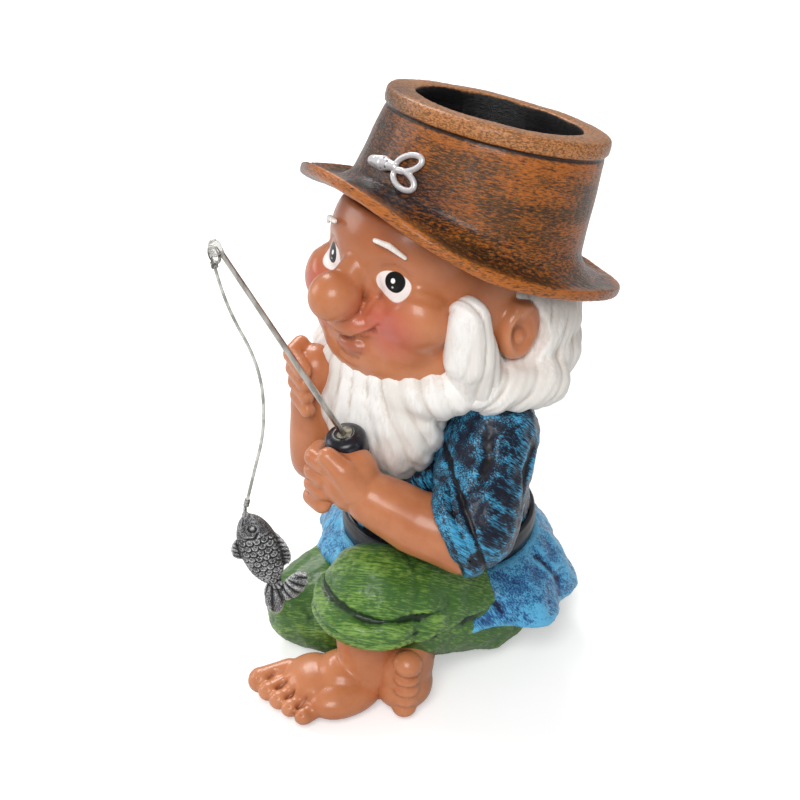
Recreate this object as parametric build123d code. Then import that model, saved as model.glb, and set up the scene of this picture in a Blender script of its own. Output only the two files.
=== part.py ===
from build123d import *
from math import atan2, cos, degrees, pi, radians, sin, sqrt, tan
import os

os.makedirs("parts", exist_ok=True)

# Seated fishing gnome, a cast and painted garden figure whose hat is a small planter.
# Millimetres, +Z up. The origin is on the ground under the middle of the seat, and the
# gnome looks along -Y, so his own left side is +X.
#
# The figure is built up from separate hollow and solid castings that are bonded face to
# face and pinned with steel dowels. The wire rod turns and lifts out of a bushing in the
# grip that his left hand holds, and the nylon line and the fish swing from its tip.

# ------------------------------------------------------------------ driving dimensions
# body
waist_height = 41.0
waist_radius = 32.0
chest_radius = 34.0
shoulder_height = 92.0
shoulder_reach = 31.0
casting_wall = 5.0
seat_half_width = 40.0
seat_half_depth = 37.0
seat_height = 26.0
hem_radius = 48.5
hem_drop = 17.5
hem_slope = 7.0
hem_wave = 2.2
hem_folds = 9
belt_width = 10.0
belt_thickness = 2.5

# head
head_height = 137.0
head_forward = 3.0
head_radius = 35.0
nose_radius = 9.6
hair_radius = 45.0
beard_length = 37.0

# limbs
upper_arm_radius = 15.5
forearm_radius = 9.8
wrist_radius = 7.6
finger_radius = 3.1
thigh_radius = 18.5
knee_radius = 17.5
low_knee_radius = 14.5
shank_radius = 12.0
ankle_radius = 9.8
foot_length = 42.0
foot_width = 23.0
toe_radius = 4.2

# hat with its planter well
hat_tilt = 17.5
brim_tilt = 25.3
brim_roll = 4.3
crown_top_radius = 38.6
crown_base_radius = 41.5
crown_depth_ratio = 0.91
crown_height = 37.0
lip_height = 5.5
lip_groove = 0.6
well_radius = 29.0
well_depth = 30.0
brim_radius = 56.5
brim_thickness = 4.2

# base
base_thickness = 3.0
base_inset = 13.0
felt_inset = 2.0
felt_thickness = 1.0

# fishing tackle
grip_radius = 6.9
grip_waist_radius = 5.6
grip_length = 25.0
grip_cap_height = 8.0
bushing_radius = 3.1
bushing_length = 10.0
rod_radius = 1.0
rod_tip_radius = 0.8
rod_length = 88.9
rod_fit = 0.05
bead_length = 8.0
bead_radius = 2.4
bead_half_width = 1.1
loop_radius = 2.6
loop_wire_radius = 0.5
loop_gap = 0.15
knot_radius = 1.1
line_diameter = 1.0
line_drop = 81.5
line_bow = 12.6
fish_ring_radius = 1.8
fish_ring_wire = 0.4
fish_length = 38.0
fish_depth = 15.5
fish_thickness = 8.5
fish_tilt = 16.0
fish_facing = -42.0
dowel_radius = 1.6


# ------------------------------------------------------------------ shape helpers
def blob(centre, radii, turn=(0, 0, 0)):
    """Rounded lump: an ellipsoid at a point, turned about its own middle."""
    return Pos(*centre) * Rot(*turn) * scale(Sphere(1), by=radii)


def frame_along(start, end):
    """Plane at start whose normal looks towards end."""
    return Plane(origin=start, z_dir=Vector(*end) - Vector(*start))


def limb(start, end, r_start, r_end):
    """Round-ended taper between two points, like an arm, a finger or a shank."""
    length = (Vector(*end) - Vector(*start)).length
    s = (r_start - r_end) / length
    c = sqrt(1 - s * s)
    low = (r_start * c, r_start * s)
    high = (r_end * c, length + r_end * s)
    half = 0.5 * (degrees(atan2(s, c)) - 90)
    low_mid = (r_start * cos(radians(half)), r_start * sin(radians(half)))
    rise = 0.5 * (degrees(atan2(s, c)) + 90)
    high_mid = (r_end * cos(radians(rise)), length + r_end * sin(radians(rise)))
    edge = Line((0, length + r_end), (0, -r_start))
    edge += ThreePointArc((0, -r_start), low_mid, low)
    edge += Line(low, high)
    edge += ThreePointArc(high, high_mid, (0, length + r_end))
    shape = revolve(Plane.XZ * make_face(edge), Axis.Z)
    return frame_along(start, end).location * shape


def rod_between(start, end, radius):
    """Plain round bar between two points."""
    length = (Vector(*end) - Vector(*start)).length
    bar = Pos(0, 0, length / 2) * Cylinder(radius, length)
    return frame_along(start, end).location * bar


def mirrored(point):
    return (-point[0], point[1], point[2])


def main_solid(shape):
    return max(shape.solids(), key=lambda s: s.volume)


def join(*shapes):
    whole = shapes[0]
    for shape in shapes[1:]:
        whole = whole + shape
    return main_solid(whole)


def carve(shape, *others):
    """Takes the neighbours out of a casting, so that it beds against them."""
    for other in others:
        shape = shape - other
    return main_solid(shape)


def write(shape, name):
    export_step(shape, "parts/" + name + ".step")


# ------------------------------------------------------------------ hat
# The crown leans back, the brim dips further behind and rolls to his left. The crown
# runs down to the underside of the brim, so the hat sits on a flat cut across the head.
hat_top = (0, 25.2, 186.5)
crown_frame = Location(hat_top, (-hat_tilt, 0, 0))
brim_frame = Location((0, 5.6, 149.4), (-brim_tilt, brim_roll, 0))

crown_foot = crown_height + 24
crown_edge = Polyline(
    (0, 0),
    (crown_top_radius, 0),
    (crown_top_radius + lip_groove, -1),
    (crown_top_radius + lip_groove, -lip_height),
    (crown_top_radius - lip_groove, -lip_height - 1),
    (crown_base_radius, -crown_height),
    (crown_base_radius + 1, -crown_foot),
    (0, -crown_foot),
    close=True,
)
crown = revolve(Plane.XZ * make_face(crown_edge), Axis.Z)
crown = scale(crown, by=(1, crown_depth_ratio, 1))
crown = crown_frame * crown
below_brim = brim_frame * Pos(0, 0, -60) * Box(240, 240, 120)
crown = crown - below_brim
brim_plate = extrude(Circle(brim_radius), brim_thickness)
brim_plate = fillet(brim_plate.edges(), brim_thickness * 0.42)
brim = brim_frame * brim_plate
hat_filled = join(crown, brim)
well_cut = Pos(0, 0, -well_depth / 2 + 1) * Cylinder(well_radius, well_depth + 2)
well_cut = crown_frame * scale(well_cut, by=(1, crown_depth_ratio, 1))
hat = main_solid(hat_filled - well_cut)

# ------------------------------------------------------------------ head
head_at = (0, -head_forward, head_height)
skull = blob(head_at, (head_radius, head_radius, head_radius + 1))
forehead = blob((0, -15, head_height + 14), (head_radius - 6, 26, 27))
jaw = blob((0, -17, head_height - 16), (27, 20, 16))
nose = blob((0, -46, head_height + 7), (nose_radius, nose_radius, nose_radius * 0.92))
bridge = limb((0, -33, head_height + 19), (0, -44, head_height + 9), 5.5, 7.5)
neck = limb((0, 0, shoulder_height + 6), (0, -4, head_height - 20), 17, 18)
head = join(skull, forehead, jaw, neck, bridge, nose)
for side in (1, -1):
    cheek = blob((side * 18, -29, head_height), (13, 12, 11.5))
    ear = blob((side * (head_radius + 1.5), -1, head_height - 8), (5, 8, 10.5), (-12, 0, 0))
    head = join(head, cheek, ear)
head = carve(head, hat_filled)
head_core = blob(head_at, (head_radius - 9, head_radius - 9, head_radius - 7))
throat = Pos(0, 0, head_height - 25) * Cylinder(8, 50)
head = carve(head, head_core - brim_frame * Pos(0, 0, 58 - casting_wall) * Box(240, 240, 120), throat)

# ------------------------------------------------------------------ rod grip
# Grip held upright in the left fist. The rod leans out of it towards the water.
grip_top = (8, -50, 96.5)
grip_lean = (0, -0.24, 0.97)
grip_frame = Plane(origin=grip_top, z_dir=grip_lean).location
grip_edge = Polyline(
    (0, 0),
    (grip_radius - 0.8, 0),
    (grip_radius, -0.8),
    (grip_radius, -grip_cap_height + 0.8),
    (grip_radius - 0.8, -grip_cap_height),
    (grip_waist_radius, -grip_cap_height - 0.2),
    (grip_waist_radius, -grip_length),
    (0, -grip_length),
    close=True,
)
grip_blank = grip_frame * revolve(Plane.XZ * make_face(grip_edge), Axis.Z)
rod_lean = (-0.09, -0.463, 0.88)
rod_frame = Plane(origin=grip_top, x_dir=(1, 0, 0), z_dir=rod_lean).location
bushing_outer = rod_frame * Pos(0, 0, 0.8 - bushing_length / 2) * Cylinder(bushing_radius, bushing_length)
rod_bore_radius = rod_radius + rod_fit
rod_foot = bushing_length + 6
rod_well = rod_frame * Pos(0, 0, -rod_foot / 2) * Cylinder(rod_bore_radius, rod_foot)
bushing = bushing_outer - rod_frame * Cylinder(rod_bore_radius, 4 * bushing_length)

# ------------------------------------------------------------------ left arm and hand
left_shoulder = (shoulder_reach, -5, shoulder_height - 2)
left_elbow = (43, -30, 65)
left_wrist = (21, -47, 77)
left_palm = blob((12.5, -50.5, 82), (9, 9, 11), (0, 0, 30))
left_arm = join(limb(left_elbow, left_wrist, forearm_radius + 0.8, wrist_radius), left_palm)
left_arm = join(left_arm, limb(left_elbow, (41, -24, 74), forearm_radius + 0.8, 8.5))
for step in range(4):
    knuckle = (9 - 0.8 * step, -60.0, 90.0 - 5.4 * step)
    fold = (-1.0, -53 + 0.6 * step, 89.0 - 5.4 * step)
    left_arm = join(left_arm, limb(knuckle, fold, finger_radius + 0.3, finger_radius))
left_arm = join(left_arm, limb((17, -51, 86), (12, -59, 92.5), 4.2, 3.4))
left_arm = carve(left_arm, grip_blank)
grip = carve(grip_blank, bushing_outer, rod_well)

# ------------------------------------------------------------------ right arm and hand
right_shoulder = mirrored(left_shoulder)
right_elbow = (-21.5, -37, 71)
right_wrist = (-20.5, -39.5, 93)
right_fist = blob((-20, -38, 104), (9, 8.5, 10), (0, 10, 0))
right_arm = join(limb(right_elbow, right_wrist, forearm_radius + 0.5, wrist_radius), right_fist)
right_arm = join(right_arm, limb(right_elbow, (-25, -27, 77), forearm_radius + 0.5, 8.5))
for step in range(4):
    knuckle = (-24.5 + 1.2 * step, -45, 111.5 - 4.6 * step)
    fold = (-15.5 + 0.6 * step, -46.5, 109.5 - 4.6 * step)
    right_arm = join(right_arm, limb(knuckle, fold, finger_radius, finger_radius - 0.3))
right_arm = carve(right_arm, head)

# ------------------------------------------------------------------ legs and feet
left_knee = (20, -50, 37)
left_ankle = (22, -50, 12)
left_heel = blob((22, -47, 8), (10.5, 10.5, 9))
ball_of_foot = blob((13, -67, 6.5), (foot_width / 2, 12, 7), (0, 0, -22))
arch = limb((21, -50, 9), (13, -67, 6.5), 9, 7)
left_leg = join(limb(left_knee, left_ankle, shank_radius, ankle_radius), left_heel, arch, ball_of_foot)
for step in range(5):
    root = (4.0 + 4.6 * step, -72.0 + 0.6 * step, 5.2)
    tip = (1.0 + 4.4 * step, -83.0 + 1.9 * step, 4.4)
    size = toe_radius * (1.08 if step == 0 else 0.92 - 0.05 * step)
    left_leg = join(left_leg, limb(root, tip, size, size))
ground_cut = Pos(0, 0, -30) * Box(300, 300, 60)
left_leg = carve(left_leg, ground_cut)

right_knee = (-17, -48, 14.6)
right_ankle = (24, -37, 12)
right_sole = blob((31, -41, 13), (9, 14, 12), (0, 0, 35))
right_leg = join(limb((-12, -44, 14), right_ankle, shank_radius, ankle_radius), right_sole)
for step in range(5):
    root = (34.5, -46.5, 5.5 + 4.8 * step)
    tip = (37.5 - 0.4 * step, -52.5 + 0.4 * step, 5.2 + 4.8 * step)
    size = toe_radius * (0.78 + 0.08 * step)
    right_leg = join(right_leg, limb(root, tip, size, size))
right_leg = carve(right_leg, ground_cut, left_leg)

# ------------------------------------------------------------------ base plate and felt sheet
plate_outline = Ellipse(seat_half_width - base_inset, seat_half_depth - base_inset)
felt_outline = Ellipse(seat_half_width - base_inset - felt_inset, seat_half_depth - base_inset - felt_inset)
plate = Pos(0, 2, felt_thickness) * extrude(plate_outline, base_thickness)
felt = Pos(0, 2, 0) * extrude(felt_outline, felt_thickness)

# ------------------------------------------------------------------ trousers
left_hip = (24, -2, 17.5)
right_hip = (-22, -2, 17.5)
left_trouser = join(
    limb(left_hip, (23, -40, 33.5), thigh_radius, knee_radius + 1),
    blob((20, -49, 38), (knee_radius + 1, knee_radius, knee_radius)),
)
left_cuff = (22, -53, 30)
cuff_cut = Plane(origin=left_cuff, z_dir=(0.05, -0.25, 1)).location * Pos(0, 0, -30) * Box(52, 44, 60)
left_trouser = carve(left_trouser, ground_cut, cuff_cut, left_leg, right_leg, left_arm, plate, felt)
right_trouser = join(
    limb(right_hip, right_knee, thigh_radius - 1, low_knee_radius),
    limb(right_knee, (-4, -44, 14.5), low_knee_radius, 14),
)
right_trouser = carve(right_trouser, ground_cut, left_leg, right_leg, left_trouser, right_arm, plate, felt)

seat_at = (0, 2, seat_height - 7)
seat_outer = blob(seat_at, (seat_half_width, seat_half_depth, seat_height))
seat_inner = blob(seat_at, (seat_half_width - casting_wall, seat_half_depth - casting_wall, seat_height - casting_wall))
seat_floor = Pos(0, 0, -30 + felt_thickness) * Box(300, 300, 60)
seat_mouth = scale(Cylinder(1, 8), by=(seat_half_width - base_inset - 4, seat_half_depth - base_inset - 4, 1))
seat_mouth = Pos(0, 2, 4) * seat_mouth
above_seat = Pos(0, 0, waist_height - belt_width / 2 + 60) * Box(300, 300, 120)
trousers_seat = carve(seat_outer, seat_inner, seat_mouth, plate, seat_floor, above_seat)
trousers_seat = carve(trousers_seat, left_trouser, right_trouser, left_leg, right_leg)

# ------------------------------------------------------------------ shirt, belt and hem
waist_top = waist_height + belt_width / 2
waist_low = waist_height - belt_width / 2
trunk = join(
    blob((0, 0, 68), (chest_radius, chest_radius - 1, 38)),
    blob((0, 2, shoulder_height), (30, 22, 14)),
)
trunk = trunk + Pos(0, 0, waist_height + 8) * Cylinder(waist_radius, 30)
below_waist = Pos(0, 0, waist_low - 40) * Box(300, 300, 80)
trunk_core = blob((0, 0, 66), (chest_radius - casting_wall, chest_radius - casting_wall, 32))
trunk_core = trunk_core + Pos(0, 0, waist_height) * Cylinder(waist_radius - casting_wall, 40)

left_sleeve = limb(left_shoulder, (44.5, -27, 69), upper_arm_radius, upper_arm_radius - 0.5)
sleeve_end = Plane(origin=(40.5, -33, 69), z_dir=(0.48, 0.72, 0.26)).location * Pos(0, 0, -30) * Box(60, 60, 60)
left_sleeve = carve(left_sleeve, sleeve_end, left_arm, left_trouser)
right_sleeve = limb(right_shoulder, (-26.5, -23, 78), upper_arm_radius - 1, upper_arm_radius - 3.5)
right_end = Plane(origin=(-25.5, -29, 76), z_dir=(-0.2, 0.85, 0.45)).location * Pos(0, 0, -30) * Box(60, 60, 60)
right_sleeve = carve(right_sleeve, right_end, right_arm, right_trouser)

belt_ring = Pos(0, 0, waist_height) * Cylinder(waist_radius + belt_thickness, belt_width)
belt_ring = fillet(belt_ring.edges(), 1.0)
belt = belt_ring - Pos(0, 0, waist_height) * Cylinder(waist_radius, 2 * belt_width)
belt = carve(belt, left_trouser, right_trouser, left_arm, right_arm, left_sleeve, right_sleeve)

# ------------------------------------------------------------------ hair and beard
hair = join(
    blob((0, 10, head_height - 12), (hair_radius - 1, 38, 30)),
    blob((0, 14, head_height - 24), (hair_radius, 33, 19)),
)
hair_front = Pos(0, -60 - 5, head_height) * Box(200, 120, 200)
for side in (1, -1):
    ear_hollow = blob((side * 46, -2, head_height - 8), (18, 10, 13))
    hair = hair - ear_hollow
hair = carve(hair, hair_front, hat_filled, head)
chin_height = head_height - 30
beard = join(
    blob((0, -27, chin_height - 12), (26, 17, beard_length / 2 + 6)),
    blob((0, -20, chin_height), (37, 21, 17)),
)
for side in (1, -1):
    lock = limb((side * 32, -17, chin_height + 2), (side * 34, -20.5, head_height + 2), 12, 6.5)
    beard = join(beard, lock)
face_opening = blob((0, -47, head_height - 7), (23, 24, 13))
beard = carve(beard, head, face_opening, hair, right_arm, left_arm, hat_filled, grip_blank)
left_sleeve = carve(left_sleeve, beard, hair, head)
right_sleeve = carve(right_sleeve, beard, hair, head)
shirt_body = carve(
    trunk - below_waist, trunk_core, head, hair, beard, left_sleeve, right_sleeve, left_arm, right_arm,
    belt, left_trouser, right_trouser, trousers_seat,
)



def hem_ring(radius, wave, squash, shift):
    """Closed ring of soft folds: one turn of the skirt at a given radius."""
    points = []
    for k in range(4 * hem_folds):
        angle = pi * k / (2 * hem_folds)
        reach = radius + wave * cos(hem_folds * angle)
        points.append((reach * cos(angle), squash * reach * sin(angle) + shift))
    return make_face(Spline(points, periodic=True))


hem_low = Pos(0, 0, waist_low - hem_drop) * Rot(-hem_slope, 0, 0)
hem_middle = Pos(0, 0, waist_low - 0.37 * hem_drop) * Rot(-hem_slope / 2, 0, 0)
hem = loft([
    hem_low * hem_ring(hem_radius, hem_wave, 0.92, 3),
    hem_middle * hem_ring(0.28 * waist_radius + 0.72 * hem_radius, 0.4 * hem_wave, 0.96, 1),
    Pos(0, 0, waist_low) * hem_ring(waist_radius + 3, 0.05, 1, 0),
])
hem = carve(
    hem, seat_outer, trunk - below_waist, left_trouser, right_trouser, left_leg, right_leg,
    left_arm, right_arm, left_sleeve, right_sleeve,
)

rod_straight = 30.0
rod_end = rod_length - 2.5
rod_edge = Polyline(
    (0, -rod_foot),
    (rod_radius, -rod_foot),
    (rod_radius, rod_straight),
    (rod_tip_radius, rod_end),
    (0, rod_end),
    close=True,
)
rod = rod_frame * revolve(Plane.XZ * make_face(rod_edge), Axis.Z)

# The eye at the rod's tip is a clear bead of glue, flattened sideways, with a cross hole.
# A nylon loop hangs in the hole and the line is knotted to it, so the line swings there.
forward_down = Vector(0, -rod_lean[2], rod_lean[1]).normalized()
lean = Vector(*rod_lean).normalized()
rod_tip = Vector(*grip_top) + lean * rod_length
loop_hole = rod_tip + forward_down * 0.8
hole_radius = loop_wire_radius + loop_gap + loop_radius - sqrt(loop_radius ** 2 - bead_half_width ** 2)
bead = rod_frame * Pos(0, 0, rod_length - bead_length / 2 + 2.6) * scale(
    Sphere(1), by=(bead_half_width, bead_radius, bead_length / 2)
)
bead = Pos(0, forward_down.Y * 0.5, forward_down.Z * 0.5) * bead
hole_place = Pos(loop_hole.X, loop_hole.Y, loop_hole.Z) * Rot(0, 90, 0)
bead = carve(bead, rod, hole_place * Cylinder(hole_radius, 12))

loop_centre = Pos(loop_hole.X, loop_hole.Y, loop_hole.Z - loop_radius)
line_top = (loop_hole.X, loop_hole.Y, loop_hole.Z - 2 * loop_radius - 1.5 * knot_radius)
line_loop = loop_centre * Rot(90, 0, 0) * Torus(loop_radius, loop_wire_radius)

# Nylon line: it bows away from the plumb line and comes back to the fish.
bow_way = (0.669, 0.743)


def line_point(bow_share, drop_share):
    out = line_bow * bow_share
    return (line_top[0] + bow_way[0] * out, line_top[1] + bow_way[1] * out, line_top[2] - line_drop * drop_share)


line_points = [
    line_point(0.0, 0.0),
    line_point(0.175, 0.147),
    line_point(0.97, 0.411),
    line_point(1.02, 0.675),
    line_point(0.68, 0.883),
    line_point(0.50, 1.0),
]


def bend_radii(points):
    """Corner radii of the free line: each arc takes up to 0.45 of its shorter run."""
    radii = []
    for before, corner, after in zip(points, points[1:], points[2:]):
        run_in = Vector(*corner) - Vector(*before)
        run_out = Vector(*after) - Vector(*corner)
        turn = radians(run_in.get_angle(run_out))
        radii.append(0.45 * min(run_in.length, run_out.length) / tan(turn / 2))
    return radii


line_radii = bend_radii(line_points)
print("line corner radii", [round(r, 1) for r in line_radii])
line_path = FilletPolyline(*line_points, radius=line_radii)
line_start = Plane(origin=line_path @ 0, z_dir=line_path % 0)
fishing_line = sweep(line_start * Circle(line_diameter / 2), path=line_path)
knot_frame = Plane(origin=line_path @ 0, z_dir=-(line_path % 0)).location
knot = knot_frame * Pos(0, 0, 0.8 * knot_radius) * Cylinder(knot_radius, 1.6 * knot_radius)
line_loop = join(line_loop, knot)
line_length = line_path.length
print("line length", round(line_length, 1))
print("line volume share", round(fishing_line.volume / (pi * line_diameter ** 2 / 4 * line_length), 4))

# Crimp and ring at the line's lower end, then the fish on the ring by its mouth hole.
line_foot = line_path @ 1
foot_way = (line_path % 1).normalized()
crimp_frame = Plane(origin=line_foot, z_dir=foot_way).location
crimp_length = 2.4
crimp = crimp_frame * Pos(0, 0, crimp_length / 2) * Cylinder(0.9, crimp_length)
ring_at = line_foot + foot_way * (crimp_length + fish_ring_radius - 0.2)
face_turn = Rot(0, 0, fish_facing)
ring_frame = Pos(ring_at.X, ring_at.Y, ring_at.Z) * face_turn
fish_ring = join(crimp, ring_frame * Rot(90, 0, 0) * Torus(fish_ring_radius, fish_ring_wire))

lip_half_width = 0.9
fish_hole_radius = fish_ring_wire + 0.15 + lip_half_width ** 2 / (2 * fish_ring_radius)
fish_pivot = ring_frame * Pos(0, 0, -fish_ring_radius)
fish_frame = fish_pivot * Rot(fish_tilt, 0, 0)
body_length = fish_length * 0.7
fish_body = blob((0, 0.5, -body_length * 0.52), (fish_thickness / 2, fish_depth / 2 - 1, body_length / 2 + 0.5))
snout = limb((0, 0, 0), (0, 0, -7), lip_half_width + 0.65, fish_thickness * 0.42)
fish_shape = join(fish_body, snout)
fish_shape = join(fish_shape, blob((0, 5.5, -body_length * 0.55), (1.3, 3.6, 7.5), (12, 0, 0)))
fish_shape = join(fish_shape, blob((0, -6.0, -body_length * 0.45), (1.2, 2.6, 4.0), (-25, 0, 0)))
fish_shape = join(fish_shape, limb((0, 0, -body_length * 0.8), (0, 1.5, -body_length - 1.5), 3.2, 1.9))
fish_shape = join(fish_shape, blob((0, 6.5, -body_length - 4.0), (1.5, 6.5, 3.4), (38, 0, 0)))
fish_shape = join(fish_shape, blob((0, -1.0, -body_length - 6.5), (1.5, 3.4, 6.5), (-12, 0, 0)))
side_cut = Box(20, 4 * lip_half_width + 4, 6)
fish_shape = fish_shape - Pos(lip_half_width + 10, 0, 0.5) * side_cut - Pos(-lip_half_width - 10, 0, 0.5) * side_cut
fish_hole = Rot(0, 90, 0) * Cylinder(fish_hole_radius, 20)
fish = fish_frame * carve(fish_shape, fish_hole)

# ------------------------------------------------------------------ fly pinned to the hat
def on_crown(x, z, out=0.0):
    radius = crown_top_radius + (crown_base_radius - crown_top_radius) * (-z - 6.5) / (crown_height - 6.5)
    return (x, -(crown_depth_ratio * sqrt(radius ** 2 - x ** 2) + out), z)


fly_body = limb(on_crown(-4.5, -22.3, 0.6), on_crown(-13.5, -24.6, 0.5), 1.4, 2.3)
wing = scale(Rot(90, 0, 0) * Torus(2.5, 0.8), by=(1.85, 1, 1))
upper_wing = Pos(*on_crown(1.8, -18.6, 0.3)) * Rot(0, -24, 0) * wing
lower_wing = Pos(*on_crown(2.2, -24.3, 0.3)) * Rot(0, 9, 0) * wing
fly = join(crown_frame * fly_body, crown_frame * upper_wing, crown_frame * lower_wing)
pin_foot = on_crown(-9, -23.5, -3.0)
pin_head = on_crown(-9, -23.5, 0.4)
fly_pin = crown_frame * rod_between(pin_foot, pin_head, 0.8)
fly = join(carve(fly, hat_filled), fly_pin)
hat = carve(hat, fly_pin)

# ------------------------------------------------------------------ steel dowels
hat_dowel = brim_frame * Pos(0, 0, 0) * Cylinder(dowel_radius, 11)
head = carve(head, hat_dowel)
hat = carve(hat, hat_dowel)
left_arm_dowel = rod_between((43, -29, 66), (39, -18, 80), dowel_radius)
left_arm = carve(left_arm, left_arm_dowel)
left_sleeve = carve(left_sleeve, left_arm_dowel)
right_arm_dowel = rod_between((-22, -34.5, 73), (-26.5, -20, 82), dowel_radius)
right_arm = carve(right_arm, right_arm_dowel)
right_sleeve = carve(right_sleeve, right_arm_dowel)
left_leg_dowel = rod_between((20, -49, 51), (21, -50, 22), dowel_radius)
left_leg = carve(left_leg, left_leg_dowel)
left_trouser = carve(left_trouser, left_leg_dowel)
right_leg_dowel = rod_between((-24, -46, 14.5), (2, -42, 13.5), dowel_radius)
right_leg = carve(right_leg, right_leg_dowel)
right_trouser = carve(right_trouser, right_leg_dowel)

# ------------------------------------------------------------------ one file per piece
write(hat, "hat")
write(fly, "fly_ornament")
write(hat_dowel, "hat_dowel")
write(head, "head")
write(hair, "hair")
write(beard, "beard")
write(shirt_body, "shirt_body")
write(belt, "belt")
write(hem, "shirt_hem")
write(left_sleeve, "left_sleeve")
write(right_sleeve, "right_sleeve")
write(left_arm, "left_arm")
write(right_arm, "right_arm")
write(left_arm_dowel, "left_arm_dowel")
write(right_arm_dowel, "right_arm_dowel")
write(trousers_seat, "trousers_seat")
write(left_trouser, "left_trouser_leg")
write(right_trouser, "right_trouser_leg")
write(left_leg, "left_leg")
write(right_leg, "right_leg")
write(left_leg_dowel, "left_leg_dowel")
write(right_leg_dowel, "right_leg_dowel")
write(plate, "base_plate")
write(felt, "base_felt")
write(grip, "rod_grip")
write(bushing, "rod_bushing")
write(rod, "rod")
write(bead, "tip_bead")
write(line_loop, "line_loop")
write(fishing_line, "fishing_line")
write(fish_ring, "fish_ring")
write(fish, "fish")
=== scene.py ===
# %% [markdown]
# The garden gnome is a set of hollow resin castings that sit on one another: hat, head, hair,
# beard, clothes, arms and legs. The CAD frame says where each one is and what it moves with.
# Here every casting is modelled again as a sculptor would, from lumps of clay that are kneaded
# together, smoothed and cut with grooves, and then painted. All lengths below are in
# millimetres, and helpers turn them into metres, because the frame is in metres.

# %% Load the frame
from math import atan2, cos, exp, pi, radians, sin, sqrt
import bmesh
import bpy
import numpy as np
from mathutils import Euler, Matrix, Vector


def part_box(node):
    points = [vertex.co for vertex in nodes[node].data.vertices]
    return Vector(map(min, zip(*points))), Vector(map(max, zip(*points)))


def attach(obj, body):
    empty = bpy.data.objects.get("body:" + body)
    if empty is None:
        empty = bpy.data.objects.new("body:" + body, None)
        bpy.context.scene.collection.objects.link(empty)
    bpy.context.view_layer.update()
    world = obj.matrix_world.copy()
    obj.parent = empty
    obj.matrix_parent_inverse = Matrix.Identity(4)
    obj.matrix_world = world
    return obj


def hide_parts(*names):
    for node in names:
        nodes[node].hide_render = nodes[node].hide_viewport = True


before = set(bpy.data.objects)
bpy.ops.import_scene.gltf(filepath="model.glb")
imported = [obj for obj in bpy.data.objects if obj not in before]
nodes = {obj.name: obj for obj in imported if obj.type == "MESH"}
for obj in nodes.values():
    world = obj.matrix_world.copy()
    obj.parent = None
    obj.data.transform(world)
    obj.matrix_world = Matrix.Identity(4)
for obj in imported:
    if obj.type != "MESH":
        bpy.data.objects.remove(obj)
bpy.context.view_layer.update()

print("castings and fittings in the frame:", len(nodes))

# %% [markdown]
# The camera stands a little above the gnome's left front, with a long lens, so that the hat
# and the feet keep their true proportions.

# %% Camera
camera_stand = Vector((409.1, -387.0, 412.0)) / 1000
camera_aim = Vector((-9.2, -10.3, 87.0)) / 1000
lens = bpy.data.cameras.new("camera")
lens.lens, lens.sensor_width = 85, 36
camera = bpy.data.objects.new("camera", lens)
camera.location = camera_stand
camera.rotation_euler = (camera_aim - camera_stand).to_track_quat("-Z", "Y").to_euler()
bpy.context.collection.objects.link(camera)
bpy.context.scene.camera = camera
print("camera looks from", [round(c, 3) for c in camera_stand])

# %% [markdown]
# The fishing line is a short length of stiff nylon that keeps some of the curl of its spool, so
# it bows towards him before it hangs. A NURBS curve through a few given points gives that bow in
# one smooth sweep, and a round bevel gives it its thickness.

# %% Fishing line
line_points = [
    (-0.01, -91.93, 167.63), (1.46, -90.29, 155.65), (8.16, -82.85, 134.14),
    (8.58, -82.38, 112.62), (5.72, -85.57, 95.67), (4.2, -87.25, 86.13),
]
line_length, line_diameter = 0.0843, 0.001
line_curve = bpy.data.curves.new("nylon_line", "CURVE")
line_curve.dimensions = "3D"
line_curve.bevel_depth = 1
line_curve.bevel_resolution = 4
line_curve.use_fill_caps = True
line_route = line_curve.splines.new("NURBS")
line_route.points.add(len(line_points) - 1)
for knot, place in zip(line_route.points, line_points):
    knot.co = (*(c / 1000 for c in place), 1)
    knot.radius = line_diameter / 2
line_route.order_u = 3
line_route.use_endpoint_u = True
line_route.resolution_u = 24
nylon_line = bpy.data.objects.new("nylon_line", line_curve)
bpy.context.collection.objects.link(nylon_line)
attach(nylon_line, "line")
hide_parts("fishing_line")
print("line of", line_length * 1000, "mm")

# %% [markdown]
# A pale floor and soft lights let the paint be judged as it is. The floor looks white to the
# camera and to transmission rays, and still takes the gnome's shadow.

# %% Floor, lights and world
bpy.context.scene.view_settings.view_transform = "Standard"


def tint(red, green, blue):
    """A paint chip's 0-255 values as the linear colour that shaders use."""
    chip = [c / 255 for c in (red, green, blue)]
    return (*(c / 12.92 if c < 0.04045 else ((c + 0.055) / 1.055) ** 2.4 for c in chip), 1)


def plug(tree, source, sink):
    tree.links.new(source, sink)


floor_paint = bpy.data.materials.new("floor_paint")
floor_paint.use_nodes = True
floor_tree = floor_paint.node_tree
floor_shader = floor_tree.nodes["Principled BSDF"]
floor_shader.inputs["Base Color"].default_value = tint(232, 232, 232)
floor_shader.inputs["Roughness"].default_value = 0.9
floor_shader.inputs["Emission Color"].default_value = (1, 1, 1, 1)
ray_kind = floor_tree.nodes.new("ShaderNodeLightPath")
seen = floor_tree.nodes.new("ShaderNodeMath")
seen.operation = "MAXIMUM"
plug(floor_tree, ray_kind.outputs["Is Camera Ray"], seen.inputs[0])
plug(floor_tree, ray_kind.outputs["Is Transmission Ray"], seen.inputs[1])
glow = floor_tree.nodes.new("ShaderNodeMath")
glow.operation = "MULTIPLY"
glow.inputs[1].default_value = 0.42
plug(floor_tree, seen.outputs[0], glow.inputs[0])
plug(floor_tree, glow.outputs[0], floor_shader.inputs["Emission Strength"])

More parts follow.
